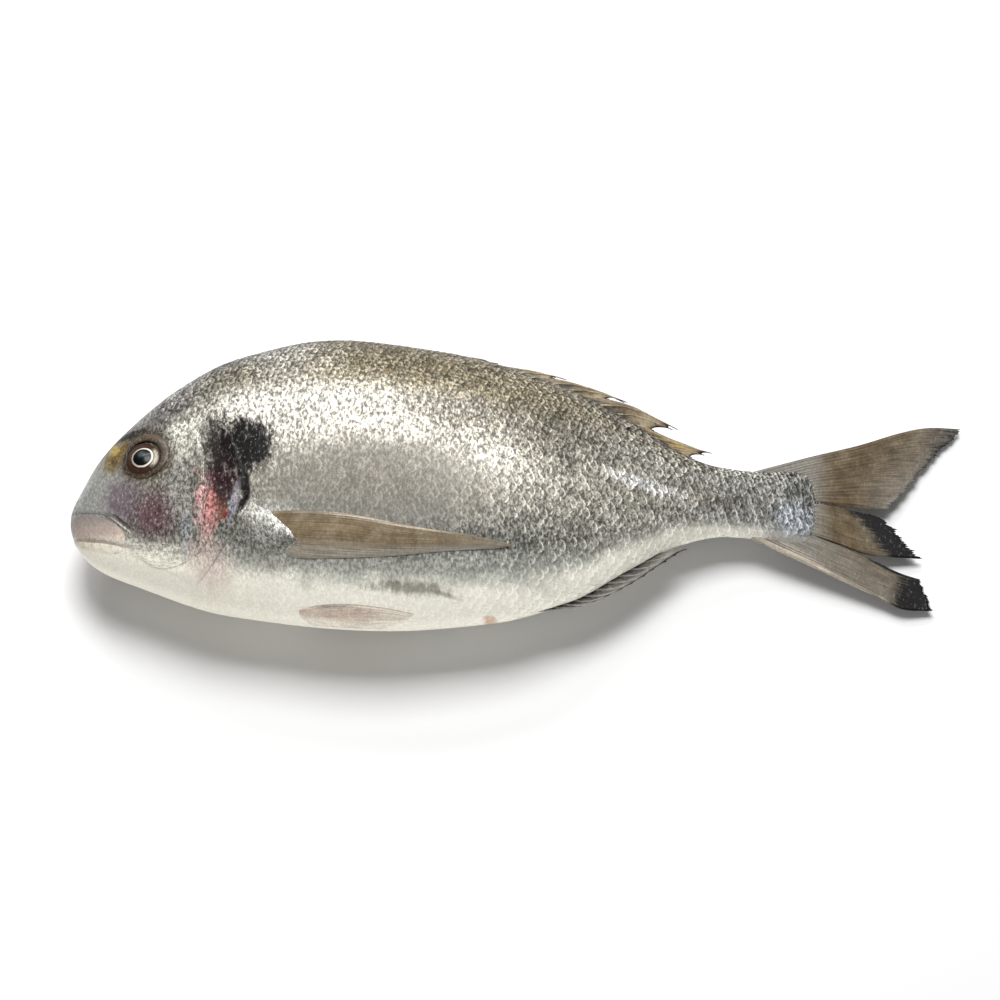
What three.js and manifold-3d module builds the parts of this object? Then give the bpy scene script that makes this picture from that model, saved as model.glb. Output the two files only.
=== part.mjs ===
// A whole raw bream of one portion, lying on its right side on a flat surface.
// Body, head and fins are one solid. The two eyeballs sit loose in their sockets.
//
// The fish's own frame, in millimetres: s runs from the snout towards the tail along +X,
// y runs from the belly towards the back along +Y, and +Z points up, out of the left flank.
// A side of +1 is the left flank, on top, and -1 is the right flank, underneath.
// The finished group is moved so that its origin is the middle of its box, at the bottom.

import * as THREE from "three";
import { ParametricGeometry } from "three/addons/geometries/ParametricGeometry.js";
import { LoftGeometry } from "three/addons/geometries/LoftGeometry.js";
import { mergeGeometries, mergeVertices } from "three/addons/utils/BufferGeometryUtils.js";
import Module from "manifold-3d";

const wasm = await Module();
wasm.setup();

// ---- Driving dimensions: the trunk ----

const BODY_LENGTH = 258; // snout to the end of the fleshy tail root
const TAIL_ROUNDING = 7; // length over which the tail root closes
const SNOUT_START = 0.15; // first station behind the tip of the snout
const STATIONS = 50;
const AROUND = 32;
const STATION_CROWDING = 1.45; // above 1 the stations crowd towards the snout

// Profile points are [s, value]: the steep snout, the deepest back, the narrow peduncle.
const BACK_LINE = [
  [0, -10.4], [3, -0.9], [10, 12.4], [20, 24.0], [34, 36.5], [56, 49.0], [90, 56.1],
  [129, 51.4], [160, 42.8], [190, 28.6], [207, 17.8], [220, 12.9], [234, 11.6], [258, 13.5],
];
const BELLY_LINE = [
  [0, -10.4], [3, -20.0], [10, -27.0], [25, -33.5], [55, -43.0], [110, -48.1],
  [143, -45.6], [170, -38.0], [190, -26.0], [207, -16.2], [224, -12.2], [258, -16.0],
];
const HALF_WIDTH = [
  [0, 0], [1, 4.2], [3, 6.4], [10, 10.0], [30, 15.6], [60, 20.4], [100, 22.2],
  [145, 19.4], [190, 11.8], [225, 6.2], [242, 4.4], [258, 2.0],
];
// Height of the median plane over the table: level along the trunk, sagging at the tail.
const MID_HEIGHT = [
  [0, 20.5], [60, 21], [110, 21], [150, 20.3], [180, 18], [205, 14.8], [230, 11.5],
  [256, 8], [280, 4.4], [295, 2.4], [310, 1.6],
];
// Where a section is widest, as a share of its height, and how square its two halves are.
const WIDEST_SHARE = [[0, 0.5], [20, 0.46], [60, 0.44], [110, 0.46], [170, 0.5], [258, 0.5]];
const UPPER_FULLNESS = [[0, 2.2], [40, 2.1], [90, 1.9], [170, 1.8], [258, 2.0]];
const LOWER_FULLNESS = [[0, 2.2], [60, 2.3], [120, 2.35], [180, 2.1], [258, 2.0]];

// ---- Driving dimensions: the head ----

const EYE_PLACE = [24.8, 7.2];
const EYE_RADIUS = 7.6; // of the flattened eyeball, inside its socket
const EYE_HALF_DEPTH = 3.2;
const EYE_SINK = 1.8; // the eyeball's centre below the skin
const SOCKET_GAP = 0.3;
const LID_RADIUS = 7.0;
const LID_THICKNESS = 1.1;

const GILL_EDGE = [[50.6, 24.0], [57.8, 10.4], [61.4, -6.0], [57.6, -18.5], [50.6, -29.7], [43.0, -37.6]];
const GILL_LIFT = 1.3;
const PREOPERCLE_EDGE = [
  [43.5, 19.0], [46.6, 5.0], [46.9, -12.0], [44.0, -26.5], [34.9, -30.5], [26.0, -28.0],
];
const PREOPERCLE_LIFT = 0.8;
const CHEEK_FRONT = [[36.0, 14.0], [34.5, 4.0], [31.0, -6.0], [27.0, -13.0], [24.0, -19.0], [21.0, -23.0]];
const PLATE_DEPTH = 1.4; // how far each bone plate reaches into the flesh
const PLATE_SINK = 0.3; // a plate's flush edge and a lip's rim start this far below the skin

const SNOUT_RIDGE = [[1.6, -5.0], [6.0, -1.5], [12.0, -2.5], [18.0, -6.5], [24.0, -11.0]];
const SNOUT_PLATE_EDGE = [[1.0, -9.2], [6.0, -10.0], [12.0, -11.4], [17.0, -14.6], [22.0, -19.4]];
const SNOUT_PLATE_LIFT = 0.7;
const MOUTH_LINE = [[1.4, -17.6], [6.0, -19.0], [12.0, -20.0], [17.0, -21.4], [21.0, -22.6]];
const LOWER_LIP_EDGE = [[2.2, -19.2], [6.5, -22.4], [12.0, -24.6], [17.0, -25.4], [20.5, -24.8]];
const LIP_LIFT = 0.9;

// Each nostril is [s, y, half length, half height].
const NOSTRILS = [[16.9, -1.2, 0.7, 1.4], [19.4, 1.5, 0.7, 0.7]];
const NOSTRIL_DEPTH = 1.2;
const VENT_PLACE = 142.4;
const VENT_RADIUS = 1.7;

// ---- Driving dimensions: the fins ----

const FIN_DEPTH_AT_ROOT = 3.0;
const FIN_DEPTH_AT_EDGE = 0.9;
const RAY_RELIEF = 0.4; // share of a fin's thickness that stands up as rays
const FRAY_START = 0.8; // share of a tail ray's length after which its tip stands free

// The tail fin is split into three blades. Each lies between two edges, from root to tip.
const TAIL_BLADES = [
  {
    upper: [[236, 9.5], [254.6, 17.6], [270.3, 23.3], [285.8, 29.0], [296.0, 31.4], [307.5, 31.1]],
    lower: [[246, -2.0], [254.1, 0.9], [262.0, 0.7], [270.0, 0.5], [276.0, 0.4], [280.7, 0.6]],
    rays: 9,
    fray: 1.4,
  },
  {
    upper: [[246, 2.0], [256.5, 1.2], [263.0, 0.0], [269.0, -1.0], [275.3, -2.1], [279.8, -3.9]],
    lower: [[246, -9.0], [261.3, -13.1], [268.9, -15.8], [276.2, -17.1], [283.9, -17.1], [291.2, -17.2]],
    rays: 5,
    fray: 1.6,
  },
  {
    upper: [[246, -8.0], [259.9, -12.8], [268.9, -16.2], [276.2, -19.4], [283.6, -22.7], [290.5, -24.7]],
    lower: [[238, -10.0], [249.9, -20.7], [262.0, -26.0], [275.7, -32.1], [284.0, -35.8], [294.5, -35.9]],
    rays: 6,
    fray: 1.2,
  },
];

// The dorsal fin lies folded back along the back: a low pleat that opens towards its rear.
// Lengths and rises are given by the place where a spine is rooted.
const DORSAL_START = 74;
const DORSAL_END = 207;
const DORSAL_SPINES = 14;
const DORSAL_SPINE_LENGTH = [[74, 7], [120, 9], [155, 13], [172, 17], [190, 18], [207, 13]];
const DORSAL_RISE = [[74, 1.0], [135, 1.3], [157, 4.2], [172, 7.0], [188, 9.2], [198, 6.2], [207, 2.8]];
const DORSAL_THICKNESS = 2.2;

// The anal fin lies folded back along the belly behind the vent.
const ANAL_START = 158;
const ANAL_END = 201;
const ANAL_RAYS = 9;
const ANAL_RAY_LENGTH = [[158, 7], [201, 7]];
const ANAL_RISE = [[158, 0.8], [171, 3.9], [182, 5.4], [193, 4.6], [201, 2.4]];
const ANAL_THICKNESS = 2.0;

const WEB_NOTCH = 0.28; // how far the web of a folded fin falls back between two rays
const FIN_ROOT_SINK = 3; // how far the dorsal and anal fins start below the skin

const PECTORAL_UPPER = [[73, -16.0], [94, -15.0], [115.4, -19.0], [135.4, -21.4], [150.8, -24.0]];
const PECTORAL_LOWER = [[73, -28.0], [91, -29.6], [109.5, -29.0], [128, -27.0], [145.0, -25.4]];
const PECTORAL_RAYS = 6;
const PECTORAL_STANDOFF = 1.1;
const FLANK_FIN_SINK = 0.5; // a fin on the flank starts this far below the skin
const FLANK_FIN_EMERGES = 0.25; // and has fully left it at this share of its length
const PECTORAL_THICKNESS = 1.2;
const PECTORAL_LOBE_UPPER = [[55.0, -6.0], [63.0, -9.8], [71.0, -13.6], [79.0, -17.5]];
const PECTORAL_LOBE_LOWER = [[55.0, -24.0], [63.0, -28.0], [71.0, -29.2], [77.6, -27.0]];
const PECTORAL_LOBE_LIFT = 2.0;
const PECTORAL_LOBE_START = 0.3; // share of that lift where the lobe leaves the gill cover

const PELVIC_UPPER = [[74, -42.4], [88, -42.2], [102, -43.2], [117.4, -45.2]];
const PELVIC_LOWER = [[74, -45.0], [86, -46.4], [99, -47.2], [113.5, -46.6]];
const PELVIC_RAYS = 3;
const PELVIC_STANDOFF = 0.3;
const PELVIC_THICKNESS = 1.0;
const PELVIC_TUCK = 3; // the lower pelvic fin is pressed further up under the belly

const TABLE_DEPTH = 20; // of the block that cuts the resting face flat

// ---- Materials ----

const skin = new THREE.MeshStandardMaterial({ color: 0xb7b5a8, roughness: 0.32, metalness: 0.35 });
const eyeball = new THREE.MeshStandardMaterial({ color: 0x2a2a22, roughness: 0.08, metalness: 0.0 });

// ---- Shared helpers ----

// A smooth curve through [s, value] points that never overshoots them. It works on the
// square root of s, so that a profile can leave the tip of the snout steeply.
function smoothProfile(points) {
  const x = points.map(([s]) => Math.sqrt(s));
  const value = points.map(([, v]) => v);
  const last = points.length - 1;
  const slope = points.slice(1).map((_, i) => (value[i + 1] - value[i]) / (x[i + 1] - x[i]));
  const tangent = slope.map((right, i) => {
    const left = slope[i - 1] ?? right;
    return left * right > 0 ? (2 * left * right) / (left + right) : 0;
  });
  tangent.push(slope[last - 1]);
  return (s) => {
    const root = Math.sqrt(Math.max(s, 0));
    let i = 0;
    while (i < last - 1 && root > x[i + 1]) i++;
    const width = x[i + 1] - x[i];
    const t = THREE.MathUtils.clamp((root - x[i]) / width, 0, 1);
    return (
      value[i] * (1 + 2 * t) * (1 - t) ** 2 +
      tangent[i] * width * t * (1 - t) ** 2 +
      value[i + 1] * t * t * (3 - 2 * t) +
      tangent[i + 1] * width * t * t * (t - 1)
    );
  };
}

const edgeCurve = (points) => new THREE.SplineCurve(points.map(([s, y]) => new THREE.Vector2(s, y)));
const bulge = (t) => Math.sin(Math.PI * t);

// A closed geometry as a solid: shared vertices merged, collapsed faces dropped, facing out.
function solidFrom(geometry) {
  const bare = new THREE.BufferGeometry();
  bare.setAttribute("position", geometry.getAttribute("position"));
  bare.setIndex(geometry.index);
  const merged = mergeVertices(bare, 1e-3);
  const corners = [];
  for (let i = 0; i < merged.index.count; i += 3) {
    const [a, b, c] = merged.index.array.slice(i, i + 3);
    if (a !== b && b !== c && c !== a) corners.push(a, b, c);
  }
  const vertProperties = merged.attributes.position.array;
  const build = (order) =>
    new wasm.Manifold(new wasm.Mesh({ numProp: 3, vertProperties, triVerts: new Uint32Array(order) }));
  const solid = build(corners);
  return solid.volume() < 0 ? build(corners.reverse()) : solid;
}

function meshFrom(solid, material, name) {
  const { vertProperties, triVerts } = solid.getMesh();
  const geometry = new THREE.BufferGeometry();
  geometry.setAttribute("position", new THREE.BufferAttribute(vertProperties, 3));
  geometry.setIndex(new THREE.BufferAttribute(triVerts, 1));
  geometry.computeVertexNormals();
  const mesh = new THREE.Mesh(geometry, material);
  mesh.name = name;
  return mesh;
}

// A thin closed piece made of two faces that meet all round its rim. place(u, v, offset)
// gives a point, u running across the piece and v along it.
function sheet(place, { outer, inner, rim, across, along }) {
  const onRim = (u, v) => Math.min(u, v, 1 - u, 1 - v) < 1e-3;
  const face = (offset) =>
    new ParametricGeometry(
      (u, v, target) => target.copy(place(u, v, onRim(u, v) ? rim(u, v) : offset(u, v))),
      across,
      along,
    );
  const top = face(outer);
  const bottom = face((u, v) => -inner(u, v));
  bottom.setIndex(Array.from(bottom.index.array).reverse());
  return solidFrom(mergeGeometries([top, bottom]));
}

// The strip between two edges: a point across it (u) and along it (v).
function strip(edgeA, edgeB) {
  const a = edgeCurve(edgeA);
  const b = edgeCurve(edgeB);
  return (u, v) => a.getPoint(v).lerp(b.getPoint(v), u);
}

// ---- The trunk ----

const backLine = smoothProfile(BACK_LINE);
const bellyLine = smoothProfile(BELLY_LINE);
const halfWidth = smoothProfile(HALF_WIDTH);
const midHeight = smoothProfile(MID_HEIGHT);
const widestShare = smoothProfile(WIDEST_SHARE);
const upperFullness = smoothProfile(UPPER_FULLNESS);
const lowerFullness = smoothProfile(LOWER_FULLNESS);

// Everything that shapes the section at s. The tail root closes as a quarter ellipse.
function sectionAt(s) {
  const closing = THREE.MathUtils.clamp((s - (BODY_LENGTH - TAIL_ROUNDING)) / TAIL_ROUNDING, 0, 1);
  const shrink = Math.sqrt(1 - closing ** 2);
  const back = backLine(s);
  const belly = bellyLine(s);
  const centre = belly + widestShare(s) * (back - belly);
  return {
    centre,
    above: (back - centre) * shrink,
    below: (centre - belly) * shrink,
    width: halfWidth(s) * shrink,
    upper: upperFullness(s),
    lower: lowerFullness(s),
  };
}

// How far the skin stands off the median plane at (s, y).
function skinWidth(s, y) {
  const section = sectionAt(s);
  const up = y > section.centre;
  const reach = up ? section.above : section.below;
  const power = up ? section.upper : section.lower;
  const share = Math.min(Math.abs(y - section.centre) / reach, 1);
  return section.width * (1 - share ** power) ** (1 / power);
}

// A point on a flank, lifted along the skin's outward normal.
function onFlank(s, y, side, lift) {
  const step = 0.4;
  const height = (a, b) => midHeight(a) + side * skinWidth(a, b);
  const alongSlope = (height(s + step, y) - height(s - step, y)) / (2 * step);
  const acrossSlope = (height(s, y + step) - height(s, y - step)) / (2 * step);
  const normal = new THREE.Vector3(-alongSlope, -acrossSlope, 1).normalize();
  return new THREE.Vector3(s, y, height(s, y)).addScaledVector(normal, side * lift);
}

function trunk() {
  const sections = [];
  for (let i = 0; i <= STATIONS; i++) {
    const run = BODY_LENGTH - 2 * SNOUT_START;
    const s = SNOUT_START + run * (i / STATIONS) ** STATION_CROWDING;
    const { centre, above, below, width, upper, lower } = sectionAt(s);
    const ring = [];
    for (let j = 0; j < AROUND; j++) {
      const angle = (2 * Math.PI * j) / AROUND;
      const power = Math.cos(angle) > 0 ? upper : lower;
      const reach = Math.cos(angle) > 0 ? above : below;
      const squared = (value) => Math.sign(value) * Math.abs(value) ** (2 / power);
      const y = centre + reach * squared(Math.cos(angle));
      const z = midHeight(s) + width * squared(Math.sin(angle));
      ring.push(new THREE.Vector3(s, y, z));
    }
    sections.push(ring);
  }
  return solidFrom(new LoftGeometry(sections, { capStart: true, capEnd: true }));
}

// ---- The head ----

// A bone plate on a flank: flush with the skin along its first edge, raised at its second.
function bonePlate(firstEdge, secondEdge, lift, side, across, along) {
  const at = strip(firstEdge, secondEdge);
  const raised = (u) => THREE.MathUtils.lerp(-PLATE_SINK, lift, u);
  return sheet(
    (u, v, offset) => {
      const p = at(u, v);
      return onFlank(p.x, p.y, side, offset);
    },
    { outer: raised, rim: raised, inner: () => PLATE_DEPTH, across, along },
  );
}

// A fleshy roll on a flank, such as a lip: highest in its middle, flush at its edges.
function fleshRoll(firstEdge, secondEdge, lift, side, across, along) {
  const at = strip(firstEdge, secondEdge);
  return sheet(
    (u, v, offset) => {
      const p = at(u, v);
      return onFlank(p.x, p.y, side, offset);
    },
    {
      outer: (u, v) => lift(v) * bulge(u),
      rim: () => -PLATE_SINK,
      inner: () => PLATE_DEPTH,
      across,
      along,
    },
  );
}

function headPieces(side) {
  const lipLift = () => LIP_LIFT;
  return [
    bonePlate(PREOPERCLE_EDGE, GILL_EDGE, GILL_LIFT, side, 4, 12),
    bonePlate(CHEEK_FRONT, PREOPERCLE_EDGE, PREOPERCLE_LIFT, side, 3, 10),
    bonePlate(SNOUT_RIDGE, SNOUT_PLATE_EDGE, SNOUT_PLATE_LIFT, side, 3, 7),
    fleshRoll(SNOUT_PLATE_EDGE, MOUTH_LINE, lipLift, side, 5, 7),
    fleshRoll(MOUTH_LINE, LOWER_LIP_EDGE, lipLift, side, 4, 7),
  ];
}

// The frame of an eye: its +Z is the skin's outward normal where the eye sits.
function eyeFrame(side, height) {
  const skinPoint = onFlank(...EYE_PLACE, side, 0);
  const outward = onFlank(...EYE_PLACE, side, 1).sub(skinPoint);
  const turn = new THREE.Quaternion().setFromUnitVectors(new THREE.Vector3(0, 0, 1), outward);
  const place = skinPoint.addScaledVector(outward, height);
  return new THREE.Matrix4().compose(place, turn, new THREE.Vector3(1, 1, 1));
}

function eyeSolid(side, gap) {
  const ball = new THREE.SphereGeometry(1, 20, 12);
  ball.rotateX(Math.PI / 2);
  ball.scale(EYE_RADIUS + gap, EYE_RADIUS + gap, EYE_HALF_DEPTH + gap);
  return solidFrom(ball.applyMatrix4(eyeFrame(side, -EYE_SINK)));
}

function lidRing(side) {
  const ring = new THREE.TorusGeometry(LID_RADIUS, LID_THICKNESS, 5, 20);
  return solidFrom(ring.applyMatrix4(eyeFrame(side, -LID_THICKNESS / 3)));
}

function nostrilPits(side) {
  return NOSTRILS.map(([s, y, halfLength, halfHeight]) => {
    const pit = new THREE.SphereGeometry(1, 10, 6).scale(halfLength, halfHeight, NOSTRIL_DEPTH);
    return solidFrom(pit.translate(...onFlank(s, y, side, 0)));
  });
}

function vent() {
  const pit = new THREE.SphereGeometry(VENT_RADIUS, 10, 6);
  const below = bellyLine(VENT_PLACE) - VENT_RADIUS / 3;
  return solidFrom(pit.translate(VENT_PLACE, below, midHeight(VENT_PLACE)));
}

// ---- The fins ----

// Half the thickness of a fin with raised rays, thinning from its root to its edge.
function rayedHalf(rootThickness, edgeThickness, rays) {
  return (u, v) => {
    const ray = 0.5 - 0.5 * Math.cos(2 * Math.PI * rays * u);
    const thickness = THREE.MathUtils.lerp(rootThickness, edgeThickness, v);
    return (thickness / 2) * (1 - RAY_RELIEF + RAY_RELIEF * ray);
  };
}

function tailBlade({ upper, lower, rays, fray }) {
  const at = strip(upper, lower);
  const half = rayedHalf(FIN_DEPTH_AT_ROOT, FIN_DEPTH_AT_EDGE, rays);
  return sheet(
    (u, v, offset) => {
      const p = at(u, v);
      const tip = fray * Math.cos(2 * Math.PI * rays * u) * THREE.MathUtils.smoothstep(v, FRAY_START, 1);
      return new THREE.Vector3(p.x - tip, p.y, midHeight(p.x) + offset);
    },
    { outer: half, inner: half, rim: () => 0, across: 2 * rays, along: 6 },
  );
}

// A pleat along the back or the belly. Each ray starts below the skin, slopes towards the
// tail and ends a little outside it; the web between two rays falls back a little.
function foldedFin({ start, end, line, outward, length, rise, rays, thickness }) {
  const half = rayedHalf(thickness, FIN_DEPTH_AT_EDGE, 0);
  return sheet(
    (u, v, offset) => {
      const s = THREE.MathUtils.lerp(start, end, u);
      const phase = (u * rays) % 1;
      const reach = 1 - WEB_NOTCH * bulge(phase);
      const tailward = length(s) * v * reach;
      const stand = rise(s) * v * reach - FIN_ROOT_SINK * (1 - v);
      const skinLine = line(s + tailward);
      return new THREE.Vector3(s + tailward, skinLine + outward * stand, midHeight(s + tailward) + offset);
    },
    { outer: half, inner: half, rim: () => 0, across: 3 * rays, along: 2 },
  );
}

function dorsalFin() {
  return foldedFin({
    start: DORSAL_START,
    end: DORSAL_END,
    line: backLine,
    outward: 1,
    length: smoothProfile(DORSAL_SPINE_LENGTH),
    rise: smoothProfile(DORSAL_RISE),
    rays: DORSAL_SPINES,
    thickness: DORSAL_THICKNESS,
  });
}

function analFin() {
  return foldedFin({
    start: ANAL_START,
    end: ANAL_END,
    line: bellyLine,
    outward: -1,
    length: smoothProfile(ANAL_RAY_LENGTH),
    rise: smoothProfile(ANAL_RISE),
    rays: ANAL_RAYS,
    thickness: ANAL_THICKNESS,
  });
}

// A fin that lies against a flank, rooted in the skin and standing off it towards its tip.
function flankFin({ upper, lower, rays, standoff, thickness, side, along }) {
  const at = strip(upper, lower);
  const half = rayedHalf(thickness, FIN_DEPTH_AT_EDGE, rays);
  return sheet(
    (u, v, offset) => {
      const p = at(u, v);
      const emerged = THREE.MathUtils.smoothstep(v, 0, FLANK_FIN_EMERGES);
      const stand = THREE.MathUtils.lerp(-FLANK_FIN_SINK, standoff, emerged);
      return onFlank(p.x, p.y, side, stand + offset);
    },
    { outer: half, inner: (u, v) => half(u, v) + standoff, rim: () => 0, across: 2 * rays, along },
  );
}

function pairedFins(side) {
  const lobeLift = (v) => PECTORAL_LOBE_LIFT * THREE.MathUtils.lerp(PECTORAL_LOBE_START, 1, v);
  const tucked = ([s, y]) => [s, side > 0 ? y : y + PELVIC_TUCK];
  return [
    fleshRoll(PECTORAL_LOBE_UPPER, PECTORAL_LOBE_LOWER, lobeLift, side, 6, 6),
    flankFin({
      upper: PECTORAL_UPPER,
      lower: PECTORAL_LOWER,
      rays: PECTORAL_RAYS,
      standoff: PECTORAL_STANDOFF,
      thickness: PECTORAL_THICKNESS,
      side,
      along: 8,
    }),
    flankFin({
      upper: PELVIC_UPPER.map(tucked),
      lower: PELVIC_LOWER.map(tucked),
      rays: PELVIC_RAYS,
      standoff: PELVIC_STANDOFF,
      thickness: PELVIC_THICKNESS,
      side,
      along: 6,
    }),
  ];
}

// ---- The whole fish ----

function tableBlock() {
  const block = new THREE.BoxGeometry(2 * BODY_LENGTH, BODY_LENGTH, TABLE_DEPTH);
  return solidFrom(block.translate(BODY_LENGTH / 2, 0, -TABLE_DEPTH / 2));
}

function fishSolid() {
  const added = [...TAIL_BLADES.map(tailBlade), dorsalFin(), analFin()];
  const removed = [vent(), tableBlock()];
  for (const side of [1, -1]) {
    added.push(...headPieces(side), ...pairedFins(side), lidRing(side));
    removed.push(eyeSolid(side, SOCKET_GAP), ...nostrilPits(side));
  }
  const joined = added.reduce((whole, piece) => whole.add(piece), trunk());
  const cut = removed.reduce((whole, piece) => whole.subtract(piece), joined);
  return cut.decompose().sort((a, b) => b.volume() - a.volume())[0];
}

const group = new THREE.Group();
group.add(meshFrom(fishSolid(), skin, "fish"));
group.add(meshFrom(eyeSolid(1, 0), eyeball, "eye_left"));
group.add(meshFrom(eyeSolid(-1, 0), eyeball, "eye_right"));

const box = new THREE.Box3().setFromObject(group);
const middle = box.getCenter(new THREE.Vector3());
group.position.set(-middle.x, -middle.y, -box.min.z);

export default group;
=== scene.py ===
# %% [markdown]
# # A whole raw bream
# A bream is a deep, flat-sided fish in a coat of overlapping scales. This lesson dresses the
# plain solid fish of the frame: skin, scales, bony head plates, lips, eyes and rayed fins.
# The frame is loaded first and never moved, so that every piece has something fixed to sit on.

# %% Load the frame
import math

import bmesh
import bpy
import numpy as np
from mathutils import Matrix, Vector


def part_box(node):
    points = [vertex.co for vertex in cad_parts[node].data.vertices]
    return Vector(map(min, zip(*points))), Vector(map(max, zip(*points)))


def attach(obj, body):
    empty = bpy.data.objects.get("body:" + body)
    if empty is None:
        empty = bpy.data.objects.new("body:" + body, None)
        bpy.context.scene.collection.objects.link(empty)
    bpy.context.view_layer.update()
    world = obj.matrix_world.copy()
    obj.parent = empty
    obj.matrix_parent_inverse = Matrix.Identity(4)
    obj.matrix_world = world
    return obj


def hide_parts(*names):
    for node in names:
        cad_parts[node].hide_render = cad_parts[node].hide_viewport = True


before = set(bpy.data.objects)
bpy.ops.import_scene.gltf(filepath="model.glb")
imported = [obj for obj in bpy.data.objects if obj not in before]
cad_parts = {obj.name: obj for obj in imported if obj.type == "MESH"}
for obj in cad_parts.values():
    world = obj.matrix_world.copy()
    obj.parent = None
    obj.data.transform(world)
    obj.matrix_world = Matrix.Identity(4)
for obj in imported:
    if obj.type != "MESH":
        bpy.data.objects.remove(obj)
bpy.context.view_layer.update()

# %% [markdown]
# ## The measurements of the trunk
# A fish's trunk is a row of rounded sections between a back line and a belly line. Each line
# here is a few (distance from the snout, value) pairs in millimetres. A curve runs through
# them without overshooting, and works on the square root of the distance, so that it can
# leave the tip of the snout as steeply as the real outline does.

# %% Profiles of the trunk
MM = 0.001
BODY_LENGTH = 258
TAIL_THINNING = 13  # the length over which the trunk's end wedges down between the fin's rays
TAIL_END_SHARE = 0.08  # of the width that is left there
TAIL_END_LOSS = 0.12  # of the height that is lost there
SNOUT_START = 0.15
BACK_LINE = [
    [0, -10.4], [3, -0.9], [10, 12.4], [20, 24.0], [34, 36.5], [56, 49.0], [90, 56.1],
    [129, 51.4], [160, 42.8], [190, 28.6], [207, 17.8], [220, 12.9], [234, 11.6], [258, 13.5],
]
BELLY_LINE = [
    [0, -10.4], [3, -20.0], [10, -27.0], [25, -33.5], [55, -43.0], [110, -48.1],
    [143, -45.6], [170, -38.0], [190, -26.0], [207, -16.2], [224, -12.2], [258, -16.0],
]
HALF_WIDTH = [
    [0, 0], [1, 4.2], [3, 6.4], [10, 10.0], [30, 15.6], [60, 20.4], [100, 22.2],
    [145, 19.4], [190, 11.8], [225, 6.2], [242, 4.4], [258, 2.0],
]
MID_HEIGHT = [
    [0, 20.5], [60, 21], [110, 21], [150, 20.3], [180, 18], [205, 14.8], [230, 11.5],
    [256, 8], [280, 4.4], [295, 2.4], [310, 1.6],
]
WIDEST_SHARE = [[0, 0.5], [20, 0.46], [60, 0.44], [110, 0.46], [170, 0.5], [258, 0.5]]
UPPER_FULLNESS = [[0, 2.2], [40, 2.1], [90, 1.9], [170, 1.8], [258, 2.0]]
LOWER_FULLNESS = [[0, 2.2], [60, 2.3], [120, 2.35], [180, 2.1], [258, 2.0]]


def smooth_profile(points):
    """A curve through (distance, value) pairs that never overshoots them."""
    knots = np.sqrt([s for s, _ in points])
    values = np.array([v for _, v in points], dtype=float)
    slopes = np.diff(values) / np.diff(knots)
    tangents = np.concatenate([slopes[:1], slopes[:-1], slopes[-1:]])
    for i in range(1, len(slopes)):
        left, right = slopes[i - 1], slopes[i]
        tangents[i] = 2 * left * right / (left + right) if left * right > 0 else 0.0

    def at(s):
        root = np.sqrt(np.maximum(s, 0))
        i = np.clip(np.searchsorted(knots, root, side="right") - 1, 0, len(knots) - 2)
        width = knots[i + 1] - knots[i]
        t = np.clip((root - knots[i]) / width, 0, 1)
        return (
            values[i] * (1 + 2 * t) * (1 - t) ** 2
            + tangents[i] * width * t * (1 - t) ** 2
            + values[i + 1] * t * t * (3 - 2 * t)
            + tangents[i + 1] * width * t * t * (t - 1)
        )

    return at


back_line = smooth_profile(BACK_LINE)
belly_line = smooth_profile(BELLY_LINE)
half_width = smooth_profile(HALF_WIDTH)
mid_height = smooth_profile(MID_HEIGHT)
widest_share = smooth_profile(WIDEST_SHARE)
upper_fullness = smooth_profile(UPPER_FULLNESS)
lower_fullness = smooth_profile(LOWER_FULLNESS)
print("deepest section:", round(float(back_line(90) - belly_line(90)), 1), "mm")

# %% [markdown]
# ## From the fish's own measurements to the frame
# The measurements count from the snout and from the middle of the fish, while the frame counts
# from the middle of its box. The shift between the two is read off the solid fish. Points that
# would sink below the table are pressed flat against it, as soft flesh is.

# %% Place points in the frame
PRESSED_DEPTH = 0.6
LOWEST_BELLY = 110.0  # distance from the snout at which the belly reaches lowest
fish_low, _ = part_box("fish")
SHIFT_Y = fish_low.y - belly_line(LOWEST_BELLY) * MM
ORIGIN = np.array([fish_low.x - SNOUT_START * MM, SHIFT_Y, 0.0])


def in_frame(points):
    """Points in the fish's millimetres, pressed on to the table, as metres in the frame."""
    pressed = points.copy()
    pressed[:, 2] = PRESSED_DEPTH * np.logaddexp(0, points[:, 2] / PRESSED_DEPTH)
    return pressed * MM + ORIGIN


print("snout at x =", round(float(ORIGIN[0]), 4), "m")

# %% [markdown]
# ## The skin as a surface
# Every piece of this fish lies on its skin, so the skin is one function: a distance from the
# snout and a turn round the section give a point, and a lift raises it along the normal.
# A turn of 0 is the back, a quarter turn the left flank, a half turn the belly.

# %% A point on the skin
def section_at(s):
    closing = np.clip((s - (BODY_LENGTH - TAIL_THINNING)) / TAIL_THINNING, 0, 1)
    shrink = 1 - TAIL_END_LOSS * closing**2
    width = half_width(s) * (1 - (1 - TAIL_END_SHARE) * closing)
    back, belly = back_line(s), belly_line(s)
    centre = belly + widest_share(s) * (back - belly)
    return centre, (back - centre) * shrink, (centre - belly) * shrink, width


def skin_point(s, turn):
    centre, above, below, width = section_at(s)
    cosine, sine = np.cos(turn), np.sin(turn)
    power = 2 / np.where(cosine > 0, upper_fullness(s), lower_fullness(s))
    y = centre + np.where(cosine > 0, above, below) * np.sign(cosine) * np.abs(cosine) ** power
    z = mid_height(s) + width * np.sign(sine) * np.abs(sine) ** power
    return np.stack(np.broadcast_arrays(s, y, z), axis=-1)


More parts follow.
